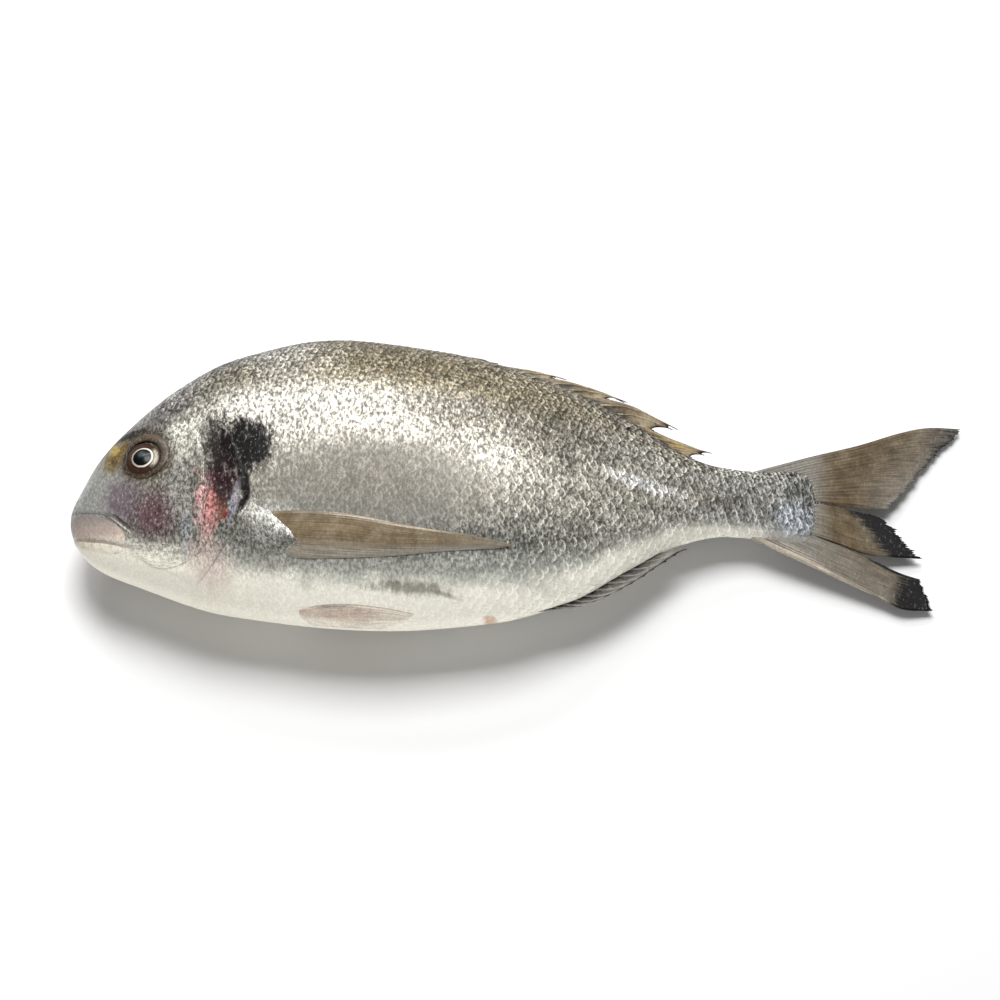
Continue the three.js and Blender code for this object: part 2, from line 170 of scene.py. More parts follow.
def skin_at(s, turn, lift):
    """A point on the skin, raised by lift along the outward normal."""
    s_step, turn_step = 0.4, 0.02
    around = skin_point(s, turn + turn_step) - skin_point(s, turn - turn_step)
    along = skin_point(s + s_step, turn) - skin_point(s - s_step, turn)
    normal = np.cross(around, along)
    normal /= np.maximum(np.linalg.norm(normal, axis=-1, keepdims=True), 1e-9)
    return skin_point(s, turn) + normal * np.asarray(lift)[..., None]


def turn_at(s, y):
    """The turn at which the left flank has height y."""
    centre, above, below, _ = section_at(s)
    up = y > centre
    share = np.abs(y - centre) / np.maximum(np.where(up, above, below), 1e-6)
    power = np.where(up, upper_fullness(s), lower_fullness(s)) / 2
    cosine = np.clip(share, 0, 1) ** power
    return np.where(up, np.arccos(cosine), np.pi - np.arccos(cosine))


def flank_at(s, y, side, lift):
    """A point on a flank: side is +1 on the left flank, on top, and -1 underneath."""
    return skin_at(s, side * turn_at(s, y), lift)


print("thickest point:", skin_at(np.array([100.0]), np.array([np.pi / 2]), np.zeros(1)).round(1))

# %% [markdown]
# ## Pieces made in a flat pattern and then wrapped
# A tailor cuts a flat pattern and wraps it round the body. A bmesh operator makes each piece
# as a flat slab whose corners run from 0 to 1, and one function then lays it on the fish.
# The pattern's coordinates stay on the mesh as an attribute, so that a material can follow
# the rays of a fin or the edge of a plate.

# %% Flat patterns
def flat_sheet(across, along):
    bm = bmesh.new()
    bmesh.ops.create_grid(bm, x_segments=across, y_segments=along, size=0.5)
    bmesh.ops.translate(bm, verts=bm.verts, vec=(0.5, 0.5, 0))
    return bm


def flat_slab(across, along):
    """A closed slab: x and y run from 0 to 1, and z is 0 underneath and 1 on top."""
    bm = flat_sheet(across, along)
    grown = bmesh.ops.extrude_face_region(bm, geom=bm.faces[:], use_keep_orig=True)
    raised = [g for g in grown["geom"] if isinstance(g, bmesh.types.BMVert)]
    bmesh.ops.translate(bm, verts=raised, vec=(0, 0, 1))
    bmesh.ops.recalc_face_normals(bm, faces=bm.faces)
    return bm


print("a slab of 4 by 3 has", len(flat_slab(4, 3).faces), "faces")

# %% Meshes and their points
def mesh_of(name, bm):
    mesh = bpy.data.meshes.new(name)
    bm.to_mesh(mesh)
    bm.free()
    return mesh


def points_of(mesh):
    flat = np.empty(len(mesh.vertices) * 3)
    mesh.vertices.foreach_get("co", flat)
    return flat.reshape(-1, 3)


def remember(mesh, name, columns):
    """Keep three numbers for each point of a mesh, for its material to read."""
    layer = mesh.attributes.new(name, "FLOAT_VECTOR", "POINT")
    layer.data.foreach_set("vector", np.stack(np.broadcast_arrays(*columns), axis=-1).ravel())


def copies_of(name, mesh, count):
    """One mesh that holds count copies of a mesh, in order."""
    row = bpy.data.objects.new(name, mesh)
    bpy.context.collection.objects.link(row)
    array = row.modifiers.new("copies", "ARRAY")
    array.use_relative_offset = False
    array.use_constant_offset = True
    array.constant_offset_displace = (0, 0, 0)
    array.count = count
    graph = bpy.context.evaluated_depsgraph_get()
    joined = bpy.data.meshes.new_from_object(row.evaluated_get(graph))
    joined.name = name
    bpy.data.objects.remove(row)
    return joined


# %% [markdown]
# Wrapping may turn a piece inside out, as on the mirrored flank. The signed volume of a closed
# mesh is negative when its faces point inwards, which is a quick test for turning them back.
# Each wrapped piece also remembers where on the fish it lies, because the colours of a fish
# depend on that: x is the distance from the snout, y the height, and z runs from 0 at the
# belly to 1 at the back.

# %% Wrap a pattern round the fish
def face_outwards(mesh):
    mesh.calc_loop_triangles()
    corners = np.empty(len(mesh.loop_triangles) * 3, dtype=np.int64)
    mesh.loop_triangles.foreach_get("vertices", corners)
    a, b, c = points_of(mesh)[corners].reshape(-1, 3, 3).transpose(1, 0, 2)
    if np.einsum("ij,ij->", a, np.cross(b, c)) < 0:
        mesh.flip_normals()


def wrap(mesh, points):
    """Move a mesh's points to the given places on the fish, in the fish's millimetres."""
    s, y = points[:, 0], points[:, 1]
    depth = np.maximum(back_line(s) - belly_line(s), 1.0)
    remember(mesh, "place", (s, y, np.clip((y - belly_line(s)) / depth, 0, 1)))
    mesh.vertices.foreach_set("co", in_frame(points).ravel())
    mesh.update()
    face_outwards(mesh)
    mesh.shade_smooth()


TRIANGLES = {}


def add_piece(mesh, material, node="fish"):
    """Put a finished mesh in the scene, in place of a solid of the frame."""
    piece = bpy.data.objects.new(mesh.name, mesh)
    bpy.context.collection.objects.link(piece)
    mesh.materials.append(material)
    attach(piece, "root")
    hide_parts(node)
    mesh.calc_loop_triangles()
    TRIANGLES[mesh.name] = len(mesh.loop_triangles)
    print(mesh.name, TRIANGLES[mesh.name], "triangles")


SIDES = {"left": 1, "right": -1}

# %% [markdown]
# ## Building blocks for the materials
# A material is a small net of nodes. These helpers add one node, or one common pair of them,
# and return the socket that carries the result, so that a material reads as a list of steps.

# %% Node helpers
def srgb(red, green, blue):
    """A colour given as it looks on a screen, 0 to 255, in the linear values Blender wants."""
    parts = [v / 255 for v in (red, green, blue)]
    return tuple(v / 12.92 if v < 0.04045 else ((v + 0.055) / 1.055) ** 2.4 for v in parts) + (1.0,)


def add_node(tree, kind, inputs=None, **settings):
    node = tree.nodes.new("ShaderNode" + kind)
    for setting, value in settings.items():
        setattr(node, setting, value)
    for name, value in (inputs or {}).items():
        if isinstance(value, bpy.types.NodeSocket):
            tree.links.new(value, node.inputs[name])
        else:
            node.inputs[name].default_value = value
    return node


def sums(tree, operation, *values, clamp=False):
    node = add_node(tree, "Math", dict(enumerate(values)), operation=operation, use_clamp=clamp)
    return node.outputs[0]


def mixed(tree, factor, first, second):
    node = add_node(tree, "Mix", {0: factor, 6: first, 7: second}, data_type="RGBA")
    return node.outputs[2]


def shaded(tree, colour, factor):
    """A colour made darker, or brighter where the factor is over 1."""
    node = add_node(tree, "VectorMath", {0: colour, "Scale": factor}, operation="SCALE")
    return node.outputs["Vector"]


def ramp_from(tree, value, low, high, first=0.0, second=1.0):
    """Turn a value that runs from low to high into one that eases from first to second."""
    inputs = {"Value": value, "From Min": low, "From Max": high, "To Min": first, "To Max": second}
    node = add_node(tree, "MapRange", inputs, interpolation_type="SMOOTHSTEP")
    return node.outputs["Result"]


# %% Helpers for colours, noise and attributes
def colour_steps(tree, value, stops):
    """Colours along a value, given as (position, colour) pairs."""
    node = add_node(tree, "ValToRGB", {"Fac": value})
    steps = node.color_ramp.elements
    for position, _ in stops[len(steps):]:
        steps.new(position)
    for step, (position, colour) in zip(steps, stops):
        step.position = position
        step.color = colour
    return node.outputs["Color"]


def cloudy(tree, vector, scale, detail=3.0, roughness=0.6):
    inputs = {"Vector": vector, "Scale": scale, "Detail": detail, "Roughness": roughness}
    return add_node(tree, "TexNoise", inputs).outputs["Fac"]


def attribute(tree, name):
    return add_node(tree, "Attribute", attribute_name=name).outputs["Vector"]


def parts_of(tree, vector):
    return add_node(tree, "SeparateXYZ", {"Vector": vector}).outputs


# %% Helpers for groups and materials
def new_group(name, inputs, outputs):
    """An empty node group. inputs and outputs map a socket's name to its type."""
    tree = bpy.data.node_groups.new(name, "ShaderNodeTree")
    for kind, sockets in (("INPUT", inputs), ("OUTPUT", outputs)):
        for socket, form in sockets.items():
            tree.interface.new_socket(socket, in_out=kind, socket_type="NodeSocket" + form)
    return tree, tree.nodes.new("NodeGroupInput").outputs, tree.nodes.new("NodeGroupOutput").inputs


def use_group(tree, group, inputs):
    """Place a node group and return its outputs."""
    return add_node(tree, "Group", inputs, node_tree=group).outputs


def new_material(name, roughness, coat, specular):
    """A material with one Principled shader. Returns the material, its tree and the shader."""
    material = bpy.data.materials.new(name)
    material.use_nodes = True
    tree = material.node_tree
    shader = tree.nodes["Principled BSDF"]
    shader.inputs["Roughness"].default_value = roughness
    shader.inputs["Coat Weight"].default_value = coat
    shader.inputs["Coat Roughness"].default_value = 0.12
    shader.inputs["Specular IOR Level"].default_value = specular
    return material, tree, shader


def set_bump(tree, shader, height, strength, distance):
    inputs = {"Height": height, "Strength": strength, "Distance": distance}
    tree.links.new(add_node(tree, "Bump", inputs).outputs["Normal"], shader.inputs["Normal"])


# %% [markdown]
# ## One soft patch of colour
# The colours of a fish lie on it in soft-edged patches: the black blotch behind the head, a
# bloody patch on the gill cover, a gold band between the eyes. One group makes such a patch
# as a mask. It stretches and turns the place on the fish so that the patch becomes a circle of
# radius 1, and eases the mask from 1 to 0 across that circle's edge.

# %% The soft patch group
def make_patch_group():
    inputs = {"Place": "Vector", "Centre": "Vector", "Reach": "Vector", "Turn": "Vector"}
    inputs |= {"Softness": "Float", "Ragged": "Float"}
    tree, given, result = new_group("Soft patch", inputs, {"Mask": "Float"})
    level = add_node(tree, "VectorMath", {0: given["Place"], 1: (1, 1, 0)}, operation="MULTIPLY")
    mapping = {
        "Vector": level.outputs[0],
        "Location": given["Centre"],
        "Rotation": given["Turn"],
        "Scale": given["Reach"],
    }
    circle = add_node(tree, "Mapping", mapping, vector_type="TEXTURE").outputs["Vector"]
    distance = add_node(tree, "VectorMath", {0: circle}, operation="LENGTH").outputs["Value"]
    noisy = sums(tree, "ADD", distance, given["Ragged"])
    inner = sums(tree, "SUBTRACT", 1.0, given["Softness"])
    outer = sums(tree, "ADD", 1.0, given["Softness"])
    tree.links.new(ramp_from(tree, noisy, inner, outer, 1.0, 0.0), result["Mask"])
    return tree


SOFT_PATCH = make_patch_group()
print("group:", SOFT_PATCH.name, [socket.name for socket in SOFT_PATCH.interface.items_tree])

# %% [markdown]
# ## The fish's colouring
# Cream belly, silver flank, olive-black back: this countershading runs round the whole fish,
# and the marks of the head lie over it. Each mark gives its centre, its half sizes and its
# turn in the fish's millimetres and degrees, its softness, how ragged its edge is, how strong
# it is and its colour. The group also tells how much the skin sparkles: much on the flanks,
# hardly at all on the belly and the snout.

# %% Colours from belly to back
BELLY_TO_BACK = [
    (0.00, srgb(247, 243, 229)),
    (0.08, srgb(244, 241, 227)),
    (0.14, srgb(160, 160, 152)),
    (0.22, srgb(128, 128, 121)),
    (0.42, srgb(118, 113, 104)),
    (0.58, srgb(128, 124, 115)),
    # The stop at 0.74 is lighter partly as the upper flank's own silver and partly as a painted
    # highlight.
    (0.74, srgb(146, 143, 135)),
    (0.88, srgb(111, 106, 94)),
    (1.00, srgb(58, 57, 53)),
]

# %% Marks on the head and flank
MARKS = [
    # centre, half sizes, turn, softness, ragged, strength, colour
    # The cream of the jaw, the dark crown and the grey snout.
    ((28.0, -35.0), (48.0, 12.0), -14, 0.45, 0.2, 0.9, srgb(240, 236, 220)),
    ((24.0, 27.0), (22.0, 12.0), 38, 0.5, 0.8, 0.85, srgb(108, 106, 104)),
    ((7.0, -3.0), (13.0, 14.0), 30, 0.5, 0.4, 0.9, srgb(140, 140, 136)),
    ((4.5, 0.5), (2.2, 5.5), -18, 0.6, 0.8, 0.5, srgb(172, 174, 174)),
    # The bruised cheek.
    ((19.5, -7.5), (6.5, 8.0), 10, 0.5, 0.5, 0.85, srgb(106, 95, 100)),
    ((31.0, -13.0), (7.0, 8.5), -12, 0.6, 1.2, 0.8, srgb(92, 60, 68)),
    # Silver behind the cheek and a painted highlight behind the eye, then the shade round the eye, the
    # gold band with a painted highlight on it and a dark spot below, and the painted shadow of the
    # brow over the eye.
    ((39.0, -6.0), (5.5, 9.0), 0, 0.6, 1.2, 0.45, srgb(178, 177, 172)),
    ((39.6, 13.5), (6.0, 7.6), 20, 0.6, 1.4, 0.85, srgb(202, 200, 188)),
    ((26.0, 9.4), (9.8, 10.0), 0, 0.2, 0.4, 0.9, srgb(62, 50, 34)),
    ((15.4, 10.0), (3.5, 6.6), -20, 0.5, 0.7, 0.9, srgb(108, 88, 42)),
    ((14.9, 12.8), (1.5, 1.8), -25, 0.7, 0.4, 0.6, srgb(190, 164, 88)),
    ((15.2, 7.6), (1.5, 1.2), 0, 0.6, 0.8, 0.7, srgb(62, 50, 36)),
    ((20.4, 18.2), (5.8, 1.7), 14, 0.5, 0.4, 0.9, srgb(26, 20, 17)),
    # A light and a dark line along the upper jaw's bone, and painted shade in the crease of the shut
    # mouth.
    ((18.9, -15.8), (4.6, 0.3), -40, 0.4, 0.2, 0.8, srgb(228, 222, 212)),
    ((19.5, -14.8), (5.0, 0.45), -40, 0.4, 0.2, 0.85, srgb(40, 34, 33)),
    ((11.0, -20.2), (10.5, 0.7), -14, 0.5, 0.2, 0.7, srgb(150, 126, 114)),
    # The black blotch and the dark skin of the gill cover below it, then a painted shadow along the
    # gill cover's free edge.
    ((60.5, 10.6), (8.8, 10.4), 6, 0.3, 1.0, 0.98, srgb(3, 2, 3)),
    ((51.5, 8.0), (5.5, 12.5), 6, 0.5, 2.2, 0.9, srgb(22, 13, 16)),
    ((53.0, -5.0), (5.2, 8.5), 5, 0.5, 2.2, 0.9, srgb(40, 16, 24)),
    ((60.6, -3.5), (1.8, 6.5), 6, 0.4, 0.6, 0.95, srgb(8, 5, 7)),
    ((59.9, -11.0), (1.1, 4.2), -26, 0.4, 0.5, 0.9, srgb(8, 5, 7)),
    # The bloody patch on the gill cover and the pale skin around it.
    ((47.4, -12.6), (2.7, 9.0), 6, 0.6, 3.4, 0.7, srgb(206, 153, 151)),
    ((49.6, -12.0), (1.9, 5.6), 4, 0.6, 3.0, 0.45, srgb(208, 122, 114)),
    ((53.0, -13.2), (1.7, 3.6), 0, 0.6, 3.0, 0.5, srgb(140, 90, 76)),
    ((54.5, -14.0), (0.8, 1.3), 0, 0.6, 1.0, 0.8, srgb(160, 58, 40)),
    ((56.9, -11.0), (1.3, 7.4), -12, 0.4, 0.3, 0.8, srgb(156, 153, 162)),
    ((41.2, -20.5), (1.7, 6.5), 0, 0.6, 0.6, 0.55, srgb(160, 164, 170)),
    ((49.0, -29.5), (6.0, 9.0), 25, 0.6, 0.7, 0.6, srgb(208, 188, 178)),
    ((41.8, -41.3), (0.8, 0.9), 0, 0.5, 0.3, 0.7, srgb(140, 96, 80)),
    # Dark streaks on the belly above the pelvic fin, and the vent.
    ((116.0, -38.6), (12.0, 1.9), -3, 0.6, 1.4, 0.7, srgb(88, 82, 70)),
    ((127.5, -40.3), (5.0, 0.7), -14, 0.6, 0.6, 0.5, srgb(112, 102, 90)),
    ((142.8, -45.6), (2.2, 0.6), 0, 0.5, 0.3, 0.6, srgb(184, 130, 92)),
    # Broad light and dark areas of the flank.
    ((172.0, -3.0), (46.0, 17.0), -8, 0.5, 0.5, 0.52, srgb(174, 170, 159)),
    # Painted shade: the upper rear flank is darkened so that the highlight fades towards the tail.
    ((147.0, 23.0), (38.0, 13.0), -14, 0.5, 0.5, 0.8, srgb(102, 97, 87)),
    ((144.0, -31.0), (18.0, 5.5), -8, 0.6, 0.6, 0.6, srgb(152, 154, 148)),
    ((69.5, -17.5), (7.0, 7.5), 0, 0.5, 0.6, 0.5, srgb(172, 171, 166)),
    ((77.0, 46.0), (17.0, 7.0), 0, 0.5, 0.8, 0.28, srgb(190, 188, 182)),
    # The tail root.
    ((238.0, 4.0), (22.0, 10.0), -4, 0.5, 0.4, 0.75, srgb(119, 120, 116)),
    ((228.0, -8.0), (16.0, 3.8), -6, 0.6, 0.6, 0.45, srgb(160, 160, 156)),
    ((254.0, -4.0), (8.5, 24.0), 0, 0.5, 0.8, 0.7, srgb(104, 104, 102)),
    ((250.0, -14.5), (15.0, 3.4), -10, 0.4, 0.4, 0.8, srgb(140, 136, 130)),
    ((247.0, -6.0), (6.0, 5.4), 0, 0.7, 1.2, 0.6, srgb(192, 198, 208)),
    ((196.0, 1.2), (12.0, 2.2), -14, 0.7, 1.2, 0.45, srgb(226, 228, 228)),
]
print("marks:", len(MARKS))

# %% The colouring group
# On the middle of the flank the scales lie flattest and shine least.
CALM_CENTRE = (104.0, -4.0)
CALM_REACH = (42.0, 17.0)
CALM_SHARE = 0.82  # of the sparkle that is lost there
CALM_RELIEF = 0.55  # and of the height of the scales
BAND_DRIFT = 0.12  # how far the bands of colour wander, as a share of the fish's depth
WEAR_STRETCH = (0.5, 0.22, 0)  # the ragged edges of the marks are drawn out up the flank


def make_colouring_group():
    outputs = {"Color": "Color", "Sparkle": "Float"}
    tree, given, result = new_group("Fish colouring", {"Place": "Vector"}, outputs)
    place = given["Place"]
    distance, _, height = parts_of(tree, place)
    upright = add_node(tree, "VectorMath", {0: place, 1: WEAR_STRETCH}, operation="MULTIPLY")
    ragged = cloudy(tree, upright.outputs[0], 1.0, 5.0, 0.7)
    drift = sums(tree, "MULTIPLY_ADD", cloudy(tree, place, 0.06, 3.0), BAND_DRIFT, height)
    level = sums(tree, "SUBTRACT", drift, BAND_DRIFT / 2, clamp=True)
    colour = colour_steps(tree, level, BELLY_TO_BACK)
    for centre, reach, turn, softness, raggedness, strength, mark in MARKS:
        edge = sums(tree, "MULTIPLY", sums(tree, "SUBTRACT", ragged, 0.5), raggedness * 2)
        inputs = {
            "Place": place,
            "Centre": (*centre, 0),
            "Reach": (*reach, 1),
            "Turn": (0, 0, math.radians(turn)),
            "Softness": softness,
            "Ragged": edge,
        }
        mask = use_group(tree, SOFT_PATCH, inputs)["Mask"]
        colour = mixed(tree, sums(tree, "MULTIPLY", mask, strength), colour, mark)
    tree.links.new(colour, result["Color"])
    snout = ramp_from(tree, distance, 10.0, 32.0, 0.3, 1.0)
    silver = sums(tree, "MULTIPLY", ramp_from(tree, height, 0.05, 0.26), snout)
    middle = {
        "Place": place,
        "Centre": (*CALM_CENTRE, 0),
        "Reach": (*CALM_REACH, 1),
        "Softness": 0.4,
    }
    calm = use_group(tree, SOFT_PATCH, middle)["Mask"]
    silver = sums(tree, "MULTIPLY", silver, sums(tree, "MULTIPLY_ADD", calm, -CALM_SHARE, 1.0))
    bright = add_node(tree, "RGBToBW", {"Color": colour}).outputs["Val"]
    silver = sums(tree, "MULTIPLY", silver, ramp_from(tree, bright, 0.0, 0.16, 0.55, 1.0))
    tree.links.new(silver, result["Sparkle"])
    return tree


FISH_COLOURING = make_colouring_group()
print("group:", FISH_COLOURING.name, "with", len(FISH_COLOURING.nodes), "nodes")

# %% [markdown]
# ## Wet speckle, with painted sparkle
# Silver skin is made of tiny mirror-like plates that catch the light one by one. A group paints
# that into the colour: a fine noise scales the colour up and down, partly the skin's own grain and
# partly painted sparkle, so that black skin stays black; it lays a few painted glints over it as
# bright flecks, and gives a roughness and a height that vary over a fraction of a millimetre.

# %% The speckle group
GRAIN_STRETCH = (1 / MM, 0.55 / MM, 1 / MM)  # the grain is drawn out up the flank
# The colour of the painted glints.
PAINTED_GLINT = srgb(222, 220, 212)
GRAIN_DEPTH = 0.2 * MM


def make_speckle_group():
    inputs = {"Color": "Color", "Grain": "Float", "Sparkle": "Float"}
    outputs = {"Color": "Color", "Roughness": "Float", "Height": "Float"}
    tree, given, result = new_group("Wet speckle", inputs, outputs)
    metres = add_node(tree, "TexCoord").outputs["Object"]
    drawn_out = {0: metres, 1: GRAIN_STRETCH}
    grain_place = add_node(tree, "VectorMath", drawn_out, operation="MULTIPLY").outputs[0]
    fine = cloudy(tree, grain_place, given["Grain"], 2.0, 0.75)
    spread = ramp_from(tree, fine, 0.36, 0.64)
    swing = sums(tree, "MULTIPLY_ADD", spread, 2.0, -1.0)
    amount = sums(tree, "MULTIPLY_ADD", given["Sparkle"], 0.6, 0.06)
    factor = sums(tree, "MULTIPLY_ADD", swing, amount, 1.0)
    noisy = shaded(tree, given["Color"], factor)
    # Painted glints where the fine noise is highest, on skin that sparkles.
    glint_mask = sums(tree, "MULTIPLY", ramp_from(tree, fine, 0.58, 0.72), given["Sparkle"])
    glint_mask = sums(tree, "MULTIPLY", glint_mask, 0.5)
    tree.links.new(mixed(tree, glint_mask, noisy, PAINTED_GLINT), result["Color"])
    bright = add_node(tree, "RGBToBW", {"Color": given["Color"]}).outputs["Val"]
    dull = ramp_from(tree, bright, 0.0, 0.12, 0.84, 0.57)
    dull = sums(tree, "MULTIPLY_ADD", given["Sparkle"], -0.15, dull)
    tree.links.new(sums(tree, "MULTIPLY_ADD", spread, -0.14, dull), result["Roughness"])
    tree.links.new(fine, result["Height"])
    return tree


WET_SPECKLE = make_speckle_group()


def lay_speckle(tree, shader, colour, grain, sparkle):
    """Give a shader its colour through the speckle, and return the group's outputs."""
    inputs = {"Color": colour, "Grain": grain, "Sparkle": sparkle}
    speckled = use_group(tree, WET_SPECKLE, inputs)
    tree.links.new(speckled["Color"], shader.inputs["Base Color"])
    return speckled


print("group:", WET_SPECKLE.name, "with", len(WET_SPECKLE.nodes), "nodes")

# %% [markdown]
# ## Skin
# The skin is a tube of sections, closed at the snout and at the tail root. A grid from bmesh is
# rolled round the fish, and the seam and the two ends are then welded. Its points crowd towards
# the snout, where the outline turns fastest.

# %% Skin material
BASE_METAL = 0.05
SPARKLE_METAL = 0.32
SPARKLE_COAT = 0.1


def silver_skin(tree, shader, colour, sparkle, grain, relief):
    """Finish a skin: its grain, its bump, and more metal where it sparkles."""
    speckled = lay_speckle(tree, shader, colour, grain, sparkle)
    tree.links.new(speckled["Roughness"], shader.inputs["Roughness"])
    metal = sums(tree, "MULTIPLY_ADD", sparkle, SPARKLE_METAL, BASE_METAL)
    tree.links.new(metal, shader.inputs["Metallic"])
    coat = sums(tree, "MULTIPLY", sparkle, SPARKLE_COAT)
    tree.links.new(coat, shader.inputs["Coat Weight"])
    set_bump(tree, shader, speckled["Height"], relief, GRAIN_DEPTH)


def make_skin_material():
    material, tree, shader = new_material("skin", roughness=0.4, coat=0.2, specular=0.22)
    base = use_group(tree, FISH_COLOURING, {"Place": attribute(tree, "place")})
    silver_skin(tree, shader, base["Color"], base["Sparkle"], grain=1.3, relief=0.4)
    return material


SKIN = make_skin_material()

# %% The skin tube
SKIN_STATIONS = 300
SKIN_AROUND = 180
STATION_CROWDING = 1.45  # over 1, the sections crowd towards the snout
WELD_DISTANCE = 2e-6
NOSTRILS = [
    # distance from the snout, height, radius, depth
    (14.2, 8.2, 0.9, 0.8),
    (16.6, 9.4, 0.6, 0.6),
]


def nostrils_at(s, y):
    """Depth of the nostrils at places on a flank."""
    depth = np.zeros_like(s)
    for centre_s, centre_y, radius, deep in NOSTRILS:
        depth += deep * np.exp(-((s - centre_s) ** 2 + (y - centre_y) ** 2) / radius**2)
    return depth


def make_skin():
    mesh = mesh_of("skin", flat_sheet(SKIN_STATIONS, SKIN_AROUND))
    u, v, _ = points_of(mesh).T
    s, turn = BODY_LENGTH * u**STATION_CROWDING, 2 * np.pi * v
    wrap(mesh, skin_at(s, turn, -nostrils_at(s, skin_point(s, turn)[:, 1])))
    bm = bmesh.new()
    bm.from_mesh(mesh)
    bmesh.ops.remove_doubles(bm, verts=bm.verts, dist=WELD_DISTANCE)
    bmesh.ops.recalc_face_normals(bm, faces=bm.faces)
    bm.to_mesh(mesh)
    bm.free()
    face_outwards(mesh)
    add_piece(mesh, SKIN)


make_skin()

# %% [markdown]
# ## Where the scales sit
# Scales stand in rows that follow the lateral line, and in columns down the flank, with every
# second row shifted by half a scale. To place one, the distance down the flank is measured
# along the skin. A table of that distance is worked out once and read backwards.

# %% Distances round the body
LATERAL_LINE = [
    [30, 19.0], [66, 24.5], [88, 26.4], [112, 22.6], [146, 16.0], [180, 7.8], [197, 3.1],
    [214, 0.3], [235, -3.2], [258, -3.6],
]
TABLE_STEP = 0.5
TABLE_TURNS = 400
TABLE_REACH = (-75, 125)  # above and below the lateral line
OVERSHOOT = 0.9  # how far the table runs on past the back and the belly

lateral_line = smooth_profile(LATERAL_LINE)
table_s = np.arange(1, BODY_LENGTH - 1, TABLE_STEP)
table_turn = np.linspace(-OVERSHOOT, np.pi + OVERSHOOT, TABLE_TURNS)
table_down = np.arange(*TABLE_REACH, TABLE_STEP)


def make_girth_table():
    """The turn at each distance from the snout and each distance below the lateral line."""
    ring = skin_point(table_s[:, None], table_turn[None, :])
    steps = np.linalg.norm(np.diff(ring, axis=1), axis=2)
    girth = np.concatenate([np.zeros((len(table_s), 1)), np.cumsum(steps, axis=1)], axis=1)
    line_turn = turn_at(table_s, lateral_line(table_s))
    rows = []
    for i in range(len(table_s)):
        line = np.interp(line_turn[i], table_turn, girth[i])
        rows.append(np.interp(line + table_down, girth[i], table_turn))
    return np.array(rows)


GIRTH_TURN = make_girth_table()


def turn_below_line(s, down):
    """Read the table between its entries."""
    x = np.clip((s - table_s[0]) / TABLE_STEP, 0, len(table_s) - 1.001)
    y = np.clip((down - table_down[0]) / TABLE_STEP, 0, len(table_down) - 1.001)
    i, j = x.astype(int), y.astype(int)
    fx, fy = x - i, y - j
    near = GIRTH_TURN[i, j] * (1 - fy) + GIRTH_TURN[i, j + 1] * fy
    far = GIRTH_TURN[i + 1, j] * (1 - fy) + GIRTH_TURN[i + 1, j + 1] * fy
    return near * (1 - fx) + far * fx


print("girth table:", GIRTH_TURN.shape)

# %% Sizes and rows of the scales
SCALE_PITCH = smooth_profile(
    [[30, 2.2], [60, 2.8], [110, 3.2], [160, 2.9], [205, 2.5], [258, 2.0]]
)
SCALE_ROW_GAP = smooth_profile(
    [[30, 1.7], [60, 2.2], [110, 2.5], [160, 2.3], [205, 2.0], [258, 1.5]]
)
ROWS_BELOW = 41
FINE_SHARE = 0.76  # of the size of the scales of the upper back
COARSE_ABOVE = 4  # rows of full size above the lateral line
FINE_ABOVE = 26  # rows of small ones above those
SCALES_START = 28
SCALES_END = 256
RAGGED_END = 6
# Distances from the snout, then values there: the columns lean forwards above the lateral
# line, they lean back near the tail, and the scales stray most from their rows on the nape.
LEAN_ABOVE = ([180, 215], [0.22, 0.0])
LEAN_AT_TAIL = ([190, 222], [0.0, 0.28])
SCALE_UNREST = ([45, 80], [0.28, 0.098])
BARE_START = 241  # below the tail root the skin is bare from here
BARE_HEIGHT = -12.0
BARE_SLOPE = 0.1
# The bare head: jaw, gill cover, cheek, the front of the eye, forehead.
HEAD_ZONE = [
    (0, -60), (46, -48), (43, -37.6), (48.6, -29.7), (55.6, -18.5), (59.4, -6), (55.8, 10.4),
    (49, 21.5), (36, 14), (34, 16), (30, 22), (30, 27), (34, 60), (0, 60),
]
print("rows on a flank:", FINE_ABOVE + COARSE_ABOVE + ROWS_BELOW + 1)

# %% The lattice of scales
def inside(polygon, s, y):
    """Whether places lie in a polygon: a line from each crosses its edges an odd number of times."""
    odd = np.zeros(len(s), dtype=bool)
    for (s0, y0), (s1, y1) in zip(polygon, polygon[1:] + polygon[:1]):
        rise = y1 - y0 if y1 != y0 else 1e-9
        odd ^= ((y0 > y) != (y1 > y)) & (s < s0 + (s1 - s0) * (y - y0) / rise)
    return odd


def lattice(rows, share):
    """Distance from the snout and below the lateral line of the places in some rows."""
    columns = [SCALES_START]
    while columns[-1] < SCALES_END:
        columns.append(columns[-1] + share * float(SCALE_PITCH(columns[-1])))
    found = []
    for row in rows:
        for first, second in zip(columns, columns[1:]):
            s = (first + second) / 2 if row % 2 else first
            full = max(row, -COARSE_ABOVE)
            found.append((s, (full + share * (row - full)) * float(SCALE_ROW_GAP(s)), share))
    return found


